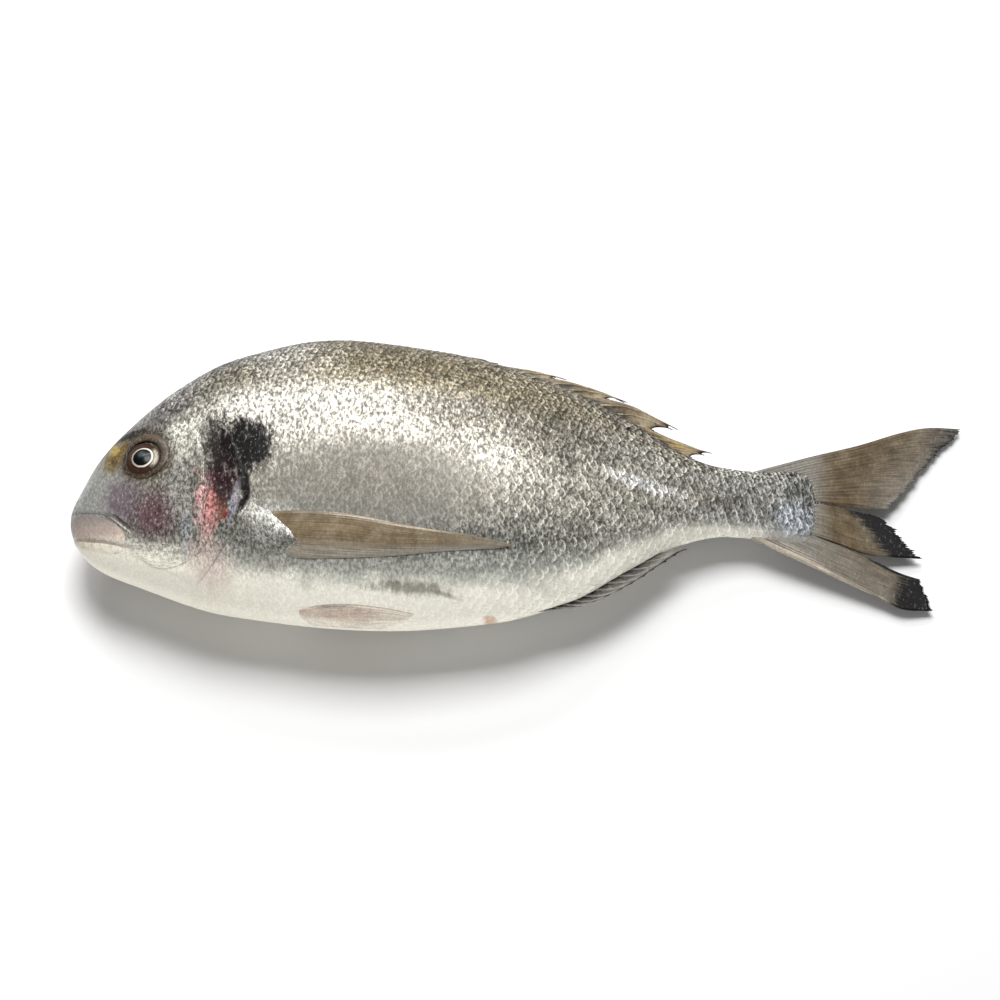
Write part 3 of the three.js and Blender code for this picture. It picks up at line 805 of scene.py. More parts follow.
def scale_places(rng):
    """Distance from the snout, distance below the lateral line and share of each scale."""
    fine = lattice(range(-COARSE_ABOVE - FINE_ABOVE, -COARSE_ABOVE), FINE_SHARE)
    s, down, share = np.array(fine + lattice(range(-COARSE_ABOVE, ROWS_BELOW + 1), 1)).T
    lean = np.where(down < 0, np.interp(s, *LEAN_ABOVE), 0.0) - np.interp(s, *LEAN_AT_TAIL)
    unrest = np.interp(s, *SCALE_UNREST)
    s = s + lean * down + unrest * rng.normal(0, 1, len(s))
    down = down + unrest * rng.normal(0, 1, len(s))
    turn = turn_below_line(s, down)
    y = skin_point(s, turn)[:, 1]
    bare = (s > BARE_START) & (y < BARE_HEIGHT + BARE_SLOPE * (s - BARE_START))
    last = SCALES_END - RAGGED_END * rng.random(len(s)) ** 2
    kept = (turn > 0.0) & (turn < np.pi) & (s < last) & ~bare & ~inside(HEAD_ZONE, s, y)
    return s[kept], down[kept], share[kept]


print("scales on a flank:", len(scale_places(np.random.default_rng(1))[0]))

# %% [markdown]
# ## One scale, and then thousands
# A scale is a thin horny disc, rooted in the skin at its front and free at its rear edge, where
# it catches the light. A single one costs only a few dozen faces: a small slab whose square
# outline is eased into a disc. An Array modifier makes the copies, and each copy is then laid
# on the flank, tilted a little by its own random amount.

# %% Scale material
GOLD = srgb(116, 100, 56)
GOLD_SHARE = 0.6
GOLD_HEIGHT = (0.72, 0.84)  # shares of the fish's depth over which the gold comes in
GOLD_START = (66.0, 92.0)  # distances from the snout over which it comes in
GOLD_END = (150.0, 200.0)  # and over which it fades out


def make_scale_material():
    material, tree, shader = new_material("scale", roughness=0.3, coat=0.2, specular=0.13)
    place = attribute(tree, "place")
    across, up, tone = parts_of(tree, attribute(tree, "scale"))
    distance, _, height = parts_of(tree, place)
    base = use_group(tree, FISH_COLOURING, {"Place": place})
    # The painted shade and highlight of the scales, and their tone, show more contrast towards the
    # back and the tail, and little on the belly.
    contrast = ramp_from(tree, height, 0.5, 0.72, 0.35, 0.6)
    contrast = sums(tree, "ADD", contrast, ramp_from(tree, distance, 120.0, 165.0, 0.0, 0.9))
    contrast = sums(tree, "ADD", contrast, ramp_from(tree, height, 0.78, 0.92, 0.0, 0.9))
    contrast = sums(tree, "MULTIPLY", contrast, ramp_from(tree, height, 0.05, 0.25, 0.25, 1.0))
    # The uncovered part runs from a painted shade under the scale in front to the bright free edge,
    # partly the edge's own silver and partly a painted highlight.
    front = ramp_from(tree, across, -0.2, 0.5, -0.26, 0.0)
    squares = sums(tree, "MULTIPLY_ADD", across, across, sums(tree, "MULTIPLY", up, up))
    radius = sums(tree, "SQRT", squares)
    wide = sums(tree, "ADD", radius, ramp_from(tree, height, 0.72, 0.84, 0.0, 0.18))
    edge = ramp_from(tree, wide, 0.66, 0.92, 0.0, 0.7)
    edge = sums(tree, "MULTIPLY", edge, ramp_from(tree, across, 0.2, 0.75))
    uneven = ramp_from(tree, tone, 0.0, 1.0, 0.4, 1.6)
    swing = sums(tree, "ADD", front, sums(tree, "MULTIPLY", edge, uneven))
    swing = sums(tree, "ADD", swing, ramp_from(tree, tone, 0.0, 1.0, -0.2, 0.18))
    colour = shaded(tree, base["Color"], sums(tree, "MULTIPLY_ADD", swing, contrast, 1.0))
    # A gold thread runs along the middle of each row on the upper flank.
    thread = ramp_from(tree, sums(tree, "ABSOLUTE", up), 0.1, 0.5, 1.0, 0.0)
    high = ramp_from(tree, height, *GOLD_HEIGHT)
    high = sums(tree, "MULTIPLY", high, ramp_from(tree, distance, *GOLD_START))
    high = sums(tree, "MULTIPLY", high, ramp_from(tree, distance, *GOLD_END, 1.0, 0.0))
    gold = sums(tree, "MULTIPLY", sums(tree, "MULTIPLY", thread, high), GOLD_SHARE)
    colour = mixed(tree, gold, colour, GOLD)
    silver_skin(tree, shader, colour, base["Sparkle"], grain=1.1, relief=0.5)
    return material


SCALE = make_scale_material()

# %% One scale
SCALE_THICKNESS = 0.035
SCALE_CELLS = (3, 3)
SHARP_ANGLE = 1.0  # radians: the rim of a scale is shaded as a sharp edge


def one_scale():
    """A closed disc of radius 1: x runs to its rear edge, and z is 0 or 1."""
    bm = flat_slab(*SCALE_CELLS)
    for edge in bm.edges:
        edge.smooth = edge.calc_face_angle() < SHARP_ANGLE
    mesh = mesh_of("scale", bm)
    flat = points_of(mesh)
    x, y = 2 * flat[:, 0] - 1, 2 * flat[:, 1] - 1
    flat[:, 0] = x * np.sqrt(1 - y * y / 2)
    flat[:, 1] = y * np.sqrt(1 - x * x / 2)
    mesh.vertices.foreach_set("co", flat.ravel())
    return mesh


ONE_SCALE = one_scale()
print("faces in a scale:", len(ONE_SCALE.polygons))

# %% How a scale lies on the flank
SCALE_LENGTH = 1.9  # of a scale, as a share of the pitch
SCALE_HEIGHT = 2.15  # of a scale, as a share of the gap between rows
SCALE_ROOT = -0.12  # lift of its rooted front
SCALE_RISE = 0.3  # from its front to its free rear edge
SCALE_CAMBER = 0.03
SCALE_FLARE = 0.05  # usual difference in how far one scale lifts
SCALE_ROLL = 0.045  # and in how far it leans sideways
SCALE_SKEW = 0.08  # and in how far it is turned in its row
SCALE_SPREAD = 0.05  # and in its size
SKIN_GAP = 0.08  # lift of the flattest scales
# Distances below the lateral line, then the share of the full lift that is left there.
SCALE_RELIEF = ([-45, -25, -8, 10, 24, 44], [0.9, 0.7, 0.4, 0.45, 0.35, 0.14])
CALM_FADE = (1.4, 0.6)  # the calm starts and is full at these shares of its half sizes
LAST_POINT = BODY_LENGTH - 0.6


def lay_scale(x, y, z, roll, flare):
    """Lift of the points of a tilted scale above the skin."""
    return (
        SCALE_ROOT
        + (SCALE_RISE + SCALE_FLARE * flare) * (x + 1) / 2
        - SCALE_CAMBER * y * y
        + SCALE_ROLL * roll * y
        + SCALE_THICKNESS * z
    )


def remember_scale(mesh, x, y, tone):
    """Keep the place on its own disc of each point, and a tone for the whole scale."""
    remember(mesh, "scale", (x, y, np.clip(0.5 + 0.3 * tone, 0, 1)))


def calm_at(s, down):
    """How far a place lies in the calm middle of the flank, from 0 to 1."""
    y = lateral_line(s) - down
    away = np.hypot((s - CALM_CENTRE[0]) / CALM_REACH[0], (y - CALM_CENTRE[1]) / CALM_REACH[1])
    start, full = CALM_FADE
    return np.clip((start - away) / (start - full), 0, 1)


# %% Scales of both flanks
def make_scales(side_name, seed):
    side = SIDES[side_name]
    rng = np.random.default_rng(seed)
    s, down, share = scale_places(rng)
    mesh = copies_of("scales_" + side_name, ONE_SCALE, len(s))
    x, y, z = points_of(mesh).T
    each = len(ONE_SCALE.vertices)
    size = rng.normal(1, SCALE_SPREAD, len(s))
    length = np.repeat(SCALE_LENGTH * SCALE_PITCH(s) * share * size, each) / 2
    height = np.repeat(SCALE_HEIGHT * SCALE_ROW_GAP(s) * share * size, each) / 2
    roll, flare, tilt, tone = rng.normal(0, 1, (4, len(s))).repeat(each, axis=1)
    s, down = np.repeat(s, each), np.repeat(down, each)
    relief = np.interp(down, *SCALE_RELIEF) * (1 - CALM_RELIEF * calm_at(s, down))
    place_s = np.minimum(s + x * length + SCALE_SKEW * tilt * y, LAST_POINT)
    turn = turn_below_line(place_s, down + y * height)
    remember_scale(mesh, x, y, tone)
    lift = lay_scale(x, y, z, roll, flare) * relief + SKIN_GAP * (1 - relief)
    wrap(mesh, skin_at(place_s, side * turn, lift))
    add_piece(mesh, SCALE)


for seed, side_name in enumerate(SIDES, 11):
    make_scales(side_name, seed)

# %% [markdown]
# ## Bony plates of the head
# The gill cover, the cheek and the snout are thin bones under the skin. Each is a slab between
# two edges: flush with the skin along the first and standing up at the second. The edges are
# smooth curves through a few points on the flank.

# %% Edges of the plates and lips
GILL_EDGE = [
    [50.6, 24.0], [57.8, 10.4], [61.4, -6.0], [57.6, -18.5], [50.6, -29.7], [43.0, -37.6],
]
CHEEK_REAR = [
    [43.5, 19.0], [46.6, 5.0], [46.9, -12.0], [44.0, -26.5], [34.9, -30.5], [26.0, -28.0],
]
CHEEK_FRONT = [
    [36.0, 14.0], [34.5, 4.0], [31.0, -6.0], [27.0, -13.0], [24.0, -19.0], [21.0, -23.0],
]
SNOUT_RIDGE = [[1.6, -5.0], [6.0, -1.5], [12.0, -2.5], [18.0, -6.5], [24.0, -11.0]]
SNOUT_PLATE_EDGE = [[1.0, -9.2], [6.0, -10.0], [12.0, -11.4], [17.0, -14.6], [22.0, -19.4]]
MOUTH_LINE = [[1.4, -17.6], [6.0, -19.0], [12.0, -20.0], [17.0, -21.4], [21.0, -22.6]]
LOWER_LIP_EDGE = [[2.2, -19.2], [6.5, -22.4], [12.0, -24.6], [17.0, -25.4], [20.5, -24.8]]

# %% Strips between two edges
def smooth_edge(points, share):
    """A smooth curve through points, at shares of its way from 0 to 1."""
    points = np.array(points, dtype=float)
    last = len(points) - 1
    way = np.clip(share, 0, 1) * last
    i = np.clip(way.astype(int), 0, last - 1)
    t = (way - i)[:, None]
    p0, p1 = points[np.where(i == 0, 0, i - 1)], points[i]
    p2, p3 = points[i + 1], points[np.minimum(i + 2, last)]
    v0, v1 = (p2 - p0) / 2, (p3 - p1) / 2
    return (
        (2 * p1 - 2 * p2 + v0 + v1) * t**3
        + (-3 * p1 + 3 * p2 - 2 * v0 - v1) * t**2
        + v0 * t
        + p1
    )


def between(first, second, u, v):
    """A point at share u from the first edge to the second, at share v along them."""
    near, far = smooth_edge(first, v), smooth_edge(second, v)
    return (near + (far - near) * u[:, None]).T


def eased(value, low, high):
    t = np.clip((value - low) / (high - low), 0, 1)
    return t * t * (3 - 2 * t)


def make_strip(name, first, second, side, cells, outer, inner, material):
    """A slab between two edges on a flank. outer and inner give its two lifts at (u, v)."""
    mesh = mesh_of(name, flat_slab(*cells))
    u, v, w = points_of(mesh).T
    s, y = between(first, second, u, v)
    lift = np.where(w > 0.5, outer(u, v), inner(u, v))
    remember(mesh, "strip", (u, v, w))
    wrap(mesh, flank_at(s, y, side, lift))
    add_piece(mesh, material)


# %% Plates of the gill cover, cheek and snout
PLATE_SINK = 0.3
PLATE_TAPER = 0.1  # share of its length over which a plate fades at either end
BENT_FROM = 0.84  # share of its width from which the free edge bends back
BENT_LOSS = 0.4
PLATES = {
    # first edge, second edge, lift, thickness of the free edge, cells
    "gill_cover": (CHEEK_REAR, GILL_EDGE, 0.9, 0.8, (28, 90)),
    "cheek": (CHEEK_FRONT, CHEEK_REAR, 0.45, 0.5, (26, 80)),
    "snout_plate": (SNOUT_RIDGE, SNOUT_PLATE_EDGE, 0.28, 0.4, (22, 60)),
}


def plate_lift(name, u, v):
    lift = PLATES[name][2]
    ends = eased(v, 0, PLATE_TAPER) * eased(1 - v, 0, PLATE_TAPER)
    rise = u * (1 - BENT_LOSS * eased(u, BENT_FROM, 1.0))
    return -PLATE_SINK + (lift + PLATE_SINK) * rise * ends


def make_plate(name, side_name):
    first, second, _, thickness, cells = PLATES[name]

    def outer(u, v):
        return plate_lift(name, u, v)

    def inner(u, v):
        return plate_lift(name, u, v) - thickness

    label = name + "_" + side_name
    make_strip(label, first, second, SIDES[side_name], cells, outer, inner, SKIN)


for plate in PLATES:
    for side_name in SIDES:
        make_plate(plate, side_name)

# %% [markdown]
# ## Scales of the head
# Small loose scales also cover the cheek and the upper gill cover. They are copies of the same
# disc, laid on the plates in rough columns, and each one strays a little from its place.

# %% Scales on the plates
HEAD_SCALES = {
    # columns, rows, first and last share along the plate
    "gill_cover": (8, 34, 0.02, 0.7),
    "cheek": (8, 30, 0.0, 0.95),
}
# All but the last of these are shares of the distance from one scale to the next.
LOOSE_START = 0.25
LOOSE_REACH = 0.95  # from the middle of a scale to its free end
LOOSE_HALF = 0.72  # half its width
LOOSE_SKEW = 0.16
STRAY_ACROSS = 0.28
STRAY_ALONG = 0.2
LOOSE_LIFT = 0.6  # share of the lift of a scale of the flank


def make_strip_scales(name, edges, side, lift_of, cells, seed, endwise=False):
    """Small scales on a strip. Their free ends point across it, or endwise along it."""
    columns, rows, start, end = cells
    count = columns * rows
    rng = np.random.default_rng(seed)
    mesh = copies_of(name, ONE_SCALE, count)
    x, y, z = points_of(mesh).T
    each = len(ONE_SCALE.vertices)
    column, row = np.divmod(np.arange(count), rows)
    column, row = np.repeat(column + 0.5 * (row % 2), each), np.repeat(row + 0.5, each)
    roll, flare, tilt, tone, stray = rng.normal(0, 1, (5, count)).repeat(each, axis=1)
    back = column + STRAY_ACROSS * stray + LOOSE_START + LOOSE_REACH * x + LOOSE_SKEW * tilt * y
    down = row + STRAY_ALONG * flare + LOOSE_HALF * y
    back = np.clip(back / columns, 0.02, 0.98)
    down = np.clip(start + (end - start) * down / rows, 0, 1)
    u, v = (down, back) if endwise else (back, down)
    s, height = between(*edges, u, v)
    lift = np.maximum(lift_of(u, v), 0) + LOOSE_LIFT * lay_scale(x, y, z, roll, flare)
    remember_scale(mesh, x, y, tone)
    wrap(mesh, flank_at(s, height, side, lift))
    add_piece(mesh, SCALE)


def make_plate_scales(plate, side_name, seed):
    def lift_of(u, v):
        return plate_lift(plate, u, v)

    label = plate + "_scales_" + side_name
    make_strip_scales(label, PLATES[plate][:2], SIDES[side_name], lift_of, HEAD_SCALES[plate], seed)


for seed, plate in enumerate(HEAD_SCALES, 21):
    for side_name in SIDES:
        make_plate_scales(plate, side_name, seed)

# %% [markdown]
# ## Lips
# The lips are two low soft rolls with the closed mouth between them. A roll is the same kind of
# slab, highest along its middle and sunk into the skin at both edges, so that the two rolls
# meet in a crease.

# %% Lip material
CREASE_DEPTH = 0.3 * MM


def make_lip_material():
    material, tree, shader = new_material("lip", roughness=0.42, coat=0.25, specular=0.4)
    place = attribute(tree, "place")
    height = parts_of(tree, place)["Y"]
    stops = [
        (0.0, srgb(236, 232, 215)), (0.3, srgb(224, 214, 196)), (0.42, srgb(210, 192, 176)),
        (0.5, srgb(186, 168, 156)), (0.72, srgb(160, 148, 140)), (1.0, srgb(116, 112, 109)),
    ]
    colour = colour_steps(tree, ramp_from(tree, height, -27.0, -9.0), stops)
    stain = cloudy(tree, place, 0.5, 4.0)
    colour = mixed(tree, ramp_from(tree, stain, 0.5, 0.72, 0.0, 0.45), colour, srgb(158, 128, 116))
    lay_speckle(tree, shader, colour, grain=1.6, sparkle=0.12)
    set_bump(tree, shader, stain, strength=0.2, distance=CREASE_DEPTH)
    return material


LIP = make_lip_material()

# %% Lips of both sides
LIP_SINK = 0.14
LIP_TAPER = 0.25  # share of its length over which a lip fades at the corner of the mouth
LIP_CELLS = (24, 60)
STRIP_DEPTH = 1.2
LIPS = {
    # upper edge, lower edge, height
    "upper_lip": (SNOUT_PLATE_EDGE, MOUTH_LINE, 0.26),
    "lower_lip": (MOUTH_LINE, LOWER_LIP_EDGE, 0.12),
}


def under_skin(u, v):
    return np.full_like(u, -STRIP_DEPTH)


def make_lip(name, side_name):
    first, second, tall = LIPS[name]

    def lip_height(u, v):
        return -LIP_SINK + (tall + LIP_SINK) * np.sin(np.pi * u) * eased(1 - v, 0, LIP_TAPER)

    label = name + "_" + side_name
    make_strip(label, first, second, SIDES[side_name], LIP_CELLS, lip_height, under_skin, LIP)


for name in LIPS:
    for side_name in SIDES:
        make_lip(name, side_name)

# %% [markdown]
# ## Eyes
# A fish's eye is a flattened ball with a domed lens, a bright ring and a dark iris, and it has
# no moving lids. It is a sphere from bmesh, flattened as the solid eye is. Its own coordinates,
# in millimetres from its middle, stay on the mesh, and the material draws the rings from them.

# %% The eye's own axes
EYE_PLACE = (24.8, 7.2)
EYE_RADIUS = 7.6
EYE_HALF_DEPTH = 3.2
EYE_SINK = 1.8


def eye_axes(side):
    """Origin on the skin, then the tailward, backward and outward directions of an eye."""
    s, y = np.array([EYE_PLACE[0]]), np.array([EYE_PLACE[1]])
    origin = flank_at(s, y, side, np.zeros(1))[0]
    outward = flank_at(s, y, side, np.ones(1))[0] - origin
    tailward = np.array([1.0, 0, 0]) - outward * outward[0]
    tailward /= np.linalg.norm(tailward)
    backward = np.cross(outward, tailward) * side
    return origin, tailward, backward, outward


def at_eye(side, x, y, height):
    origin, tailward, backward, outward = eye_axes(side)
    return origin + x[:, None] * tailward + y[:, None] * backward + height[:, None] * outward


# %% Eye material
PUPIL_CENTRE = (0.7, 0.4, 0)
PUPIL_RADIUS = 3.25
RING_RADIUS = 3.8
IRIS_EDGE = (4.7, 5.8)  # radii between which the iris darkens
# Where the painted reflection in the pupil is brightest.
EYE_SHINE = (0.5, 1.5, 0)


def flat_distance(tree, own, centre):
    """Distance from a centre, in the plane of the eye."""
    level = add_node(tree, "VectorMath", {0: own, 1: (1, 1, 0)}, operation="MULTIPLY").outputs[0]
    return add_node(tree, "VectorMath", {0: level, 1: centre}, operation="DISTANCE").outputs["Value"]


def make_eye_material():
    material, tree, shader = new_material("eye", roughness=0.3, coat=0.12, specular=0.15)
    own = attribute(tree, "eye")
    across, up, _ = parts_of(tree, own)
    wobble = sums(tree, "MULTIPLY_ADD", cloudy(tree, own, 0.9, 3.0), 0.4, -0.2)
    radius = sums(tree, "ADD", flat_distance(tree, own, PUPIL_CENTRE), wobble)
    streaks = cloudy(tree, own, 2.0, 4.0)
    tan = mixed(tree, ramp_from(tree, streaks, 0.35, 0.65), srgb(128, 114, 88), srgb(204, 196, 174))
    brown = mixed(tree, ramp_from(tree, streaks, 0.35, 0.65), srgb(30, 18, 14), srgb(78, 48, 34))
    lit = sums(tree, "SUBTRACT", across, sums(tree, "ABSOLUTE", up))
    iris = mixed(tree, ramp_from(tree, lit, -0.5, 3.5), brown, tan)
    iris = mixed(tree, ramp_from(tree, radius, *IRIS_EDGE), iris, srgb(48, 33, 21))
    edge = ramp_from(tree, radius, RING_RADIUS + 0.1, RING_RADIUS + 0.6)
    gap = mixed(tree, edge, srgb(40, 34, 30), iris)
    rear = ramp_from(tree, across, -3.0, 3.0)
    bright_ring = mixed(tree, rear, srgb(168, 156, 142), srgb(222, 218, 206))
    edge = ramp_from(tree, radius, RING_RADIUS - 0.1, RING_RADIUS + 0.1)
    ring = mixed(tree, edge, bright_ring, gap)
    # A painted reflection: the pupil lightens towards that spot.
    shine = ramp_from(tree, flat_distance(tree, own, EYE_SHINE), 0.2, 2.0, 1.0, 0.0)
    pupil = mixed(tree, shine, srgb(4, 8, 7), srgb(66, 76, 74))
    edge = ramp_from(tree, radius, PUPIL_RADIUS - 0.12, PUPIL_RADIUS + 0.12)
    tree.links.new(mixed(tree, edge, pupil, ring), shader.inputs["Base Color"])
    set_bump(tree, shader, streaks, strength=0.08, distance=GRAIN_DEPTH)
    return material


EYE = make_eye_material()

# %% Eyeballs
LENS_DOME = 0.35
IRIS_DISH = 0.15  # the iris sinks a little round the lens


def make_eyeball(side_name):
    side = SIDES[side_name]
    bm = bmesh.new()
    bmesh.ops.create_uvsphere(bm, u_segments=64, v_segments=48, radius=1)
    mesh = mesh_of("eyeball_" + side_name, bm)
    x, y, z = points_of(mesh).T
    x, y = x * EYE_RADIUS, y * EYE_RADIUS
    radius = np.hypot(x, y)
    dome = LENS_DOME * (1 - eased(radius, 1.0, 4.0)) - IRIS_DISH * eased(radius, 3.2, 4.4)
    height = EYE_HALF_DEPTH * z - EYE_SINK + np.where(z > 0, dome, 0)
    remember(mesh, "eye", (x, y, height))
    wrap(mesh, at_eye(side, x, y, height))
    add_piece(mesh, EYE, node="eye_" + side_name)


for side_name in SIDES:
    make_eyeball(side_name)

# %% [markdown]
# ## Eye rims
# A ring of skin closes round the eyeball. It is wider towards the back of the head. A circle
# spun round once gives a ring; its two angles are then read back from the points, and each
# sets how wide and how high the rim is there. Its outer edge dives under the skin, and its
# colour fades into the skin's own.

# %% Rim material
RIM_MIDDLE = (0.7, 0.7, 0)
RIM_BROWN = (6.2, 7.4)  # radii between which the dark inner edge turns brown
RIM_FADE = (7.6, 9.0)  # and between which the brown gives way to the skin's own colour


def make_rim_material():
    material, tree, shader = new_material("eye_rim", roughness=0.5, coat=0.12, specular=0.3)
    own = attribute(tree, "eye")
    base = use_group(tree, FISH_COLOURING, {"Place": attribute(tree, "place")})
    radius = flat_distance(tree, own, RIM_MIDDLE)
    grain = cloudy(tree, own, 1.6, 4.0)
    brown = mixed(tree, ramp_from(tree, grain, 0.35, 0.7), srgb(46, 34, 22), srgb(98, 80, 54))
    colour = mixed(tree, ramp_from(tree, radius, *RIM_BROWN), srgb(26, 17, 12), brown)
    colour = mixed(tree, ramp_from(tree, radius, *RIM_FADE, 0.0, 0.8), colour, base["Color"])
    lay_speckle(tree, shader, colour, grain=1.6, sparkle=0.25)
    set_bump(tree, shader, grain, strength=0.3, distance=CREASE_DEPTH)
    return material


RIM = make_rim_material()

# %% Rims of both eyes
RING_MAJOR = 2.0
RING_CELLS = (72, 16)
RIM_CENTRE = (0.65, 0.7)
RIM_RADIUS = 6.0  # of its inner edge
RIM_TALLNESS = 0.25  # added to that radius towards the back of the fish
RIM_HALF = 0.9  # half its width at the narrowest
RIM_EXTRA = 0.75  # added to that where it is widest
WIDEST_ANGLE = math.radians(40)
RIM_LIFT = -0.05
RIM_HEIGHT = 0.34
RIM_SLOPE = 0.2  # the outer edge lies lower than the inner one


def spun_ring(around, section):
    """A ring about the Z axis, with a round section of radius 1."""
    bm = bmesh.new()
    made = bmesh.ops.create_circle(bm, cap_ends=False, radius=1, segments=section)
    bmesh.ops.rotate(bm, verts=bm.verts, matrix=Matrix.Rotation(math.radians(90), 3, "X"))
    bmesh.ops.translate(bm, verts=bm.verts, vec=(RING_MAJOR, 0, 0))
    bmesh.ops.spin(
        bm, geom=bm.edges[:] + made["verts"], axis=(0, 0, 1), cent=(0, 0, 0), angle=2 * math.pi,
        steps=around, use_merge=True, use_duplicate=False,
    )
    bmesh.ops.remove_doubles(bm, verts=bm.verts, dist=1e-5)
    bmesh.ops.recalc_face_normals(bm, faces=bm.faces)
    return bm


def make_eye_rim(side_name):
    side = SIDES[side_name]
    mesh = mesh_of("eye_rim_" + side_name, spun_ring(*RING_CELLS))
    px, py, pz = points_of(mesh).T
    angle = np.arctan2(py, px)
    out = np.hypot(px, py) - RING_MAJOR
    half = RIM_HALF + RIM_EXTRA * eased(np.cos(angle - WIDEST_ANGLE), -0.3, 1)
    radius = RIM_RADIUS + RIM_TALLNESS * eased(np.sin(angle), 0, 1) + half * (1 + out)
    x = RIM_CENTRE[0] + radius * np.cos(angle)
    y = RIM_CENTRE[1] + radius * np.sin(angle)
    height = RIM_LIFT + RIM_HEIGHT * pz - RIM_SLOPE * out
    remember(mesh, "eye", (x, y, height))
    wrap(mesh, at_eye(side, x, y, height))
    add_piece(mesh, RIM)


for side_name in SIDES:
    make_eye_rim(side_name)

# %% [markdown]
# ## Fins with rays
# A fin is a thin web held by rays that fan out from its root. The web is a fine slab between
# two edges, and the rays are ridges in it, with a height worked out from the share across it.
# Past the middle of a tail ray it forks, so the ridges there are twice as many.

# %% Fin material
FIN_BLACK = srgb(5, 4, 5)
STAIN_STEPS = (0.34, 0.5, 0.66)


def make_fin_material(name, stains, pale, light, contrast):
    """A rayed web: three stains, a pale and a light tint, and black where the marks ask for it."""
    material, tree, shader = new_material(name, roughness=0.5, coat=0.05, specular=0.3)
    place = attribute(tree, "place")
    strip = attribute(tree, "strip")
    dark, paler, lighter = parts_of(tree, attribute(tree, "marks"))
    along = add_node(tree, "VectorMath", {0: strip, 1: (2.4, 4.0, 0)}, operation="MULTIPLY")
    streaks = cloudy(tree, along.outputs[0], 1.0, 4.0, 0.7)
    stain = cloudy(tree, place, 0.16, 4.0)
    colour = colour_steps(tree, stain, list(zip(STAIN_STEPS, stains)))
    colour = mixed(tree, paler, colour, pale)
    # The light tint goes where the marks ask for it: real gilt and pale margins on the back and tail
    # fins, and a painted highlight on the flank fins.
    lit = sums(tree, "MULTIPLY", lighter, ramp_from(tree, streaks, 0.4, 0.56))
    colour = mixed(tree, lit, colour, light)
    colour = shaded(tree, colour, ramp_from(tree, streaks, 0.3, 0.7, 1 - contrast, 1 + 0.8 * contrast))
    ragged = sums(tree, "MULTIPLY_ADD", streaks, 1.8, -0.9)
    black = ramp_from(tree, sums(tree, "ADD", dark, ragged), 0.28, 0.85)
    colour = mixed(tree, black, colour, FIN_BLACK)
    sparkle = sums(tree, "MULTIPLY_ADD", dark, 0.2, 0.1)
    speckled = lay_speckle(tree, shader, colour, grain=1.2, sparkle=sparkle)
    set_bump(tree, shader, speckled["Height"], strength=0.2, distance=GRAIN_DEPTH)
    return material


# %% The colours of each fin
BROWNS = (srgb(77, 62, 41), srgb(95, 80, 57), srgb(110, 97, 78))
TANS = (srgb(94, 76, 50), srgb(115, 97, 68), srgb(131, 116, 92))
STRAWS = (srgb(88, 70, 46), srgb(122, 104, 76), srgb(152, 134, 106))
GREYS = (srgb(82, 78, 71), srgb(102, 98, 91), srgb(122, 119, 111))
PINKS = (srgb(184, 160, 143), srgb(204, 184, 167), srgb(218, 202, 184))
FIN_LOOKS = {
    # stains, pale tint, light tint (a painted highlight on the flank fins), contrast of the streaks
    "fin": (BROWNS, srgb(128, 123, 114), srgb(206, 192, 172), 0.4),
    "tan_fin": (TANS, srgb(140, 133, 120), srgb(206, 192, 172), 0.4),
    "straw_fin": (STRAWS, srgb(168, 154, 126), srgb(172, 146, 82), 0.5),
    # The anal fin's grey is darkened partly as painted shade, for it lies under the belly.
    "grey_fin": (GREYS, srgb(160, 158, 150), srgb(176, 174, 166), 0.28),
    "pink_fin": (PINKS, srgb(230, 222, 206), srgb(236, 230, 214), 0.2),
}
FINS = {name: make_fin_material(name, *look) for name, look in FIN_LOOKS.items()}
print("fin materials:", list(FINS))

# %% Rays
FORK_START = 0.35
FORK_END = 0.75
RAY_RELIEF = 0.1  # of the thickness of a fin
CELLS_PER_RAY = 10


def ray_ridges(u, v, rays, forked):
    """Height of the rays across a fin, from 0 in the web to 1 on a ray."""
    single = 0.5 + 0.5 * np.cos(2 * np.pi * rays * u)
    double = 0.5 + 0.5 * np.cos(4 * np.pi * rays * u)
    share = eased(v, FORK_START, FORK_END) * forked
    return single * (1 - share) + double * share


def ribbed(half, ridge):
    """Half the thickness of a fin, thinned between its rays."""
    return half * (1 - RAY_RELIEF + RAY_RELIEF * ridge)


def slab_between(w, low, high):
    """The lower face of a slab at low and its upper face at high."""
    return np.where(w > 0.5, high, low)


# %% How the tail is stained
def edge_at_root(v):
    """The margin of a blade is black up to its middle."""
    return 1 - 0.8 * eased(v, 0.45, 0.6)


def edge_at_tip(v):
    """The margin of a blade is black from its middle on."""
    return eased(v, 0.25, 0.7)


def grey_towards_tip(u, v):
    return 0.55 * eased(v, 0.45, 0.85) * (0.4 + 0.6 * u) + 0.4 * eased(v, 0.84, 0.96)


def grey_throughout(u, v):
    return 0.35 + 0.3 * u + 0.3 * (1 - eased(v, 0.15, 0.5))


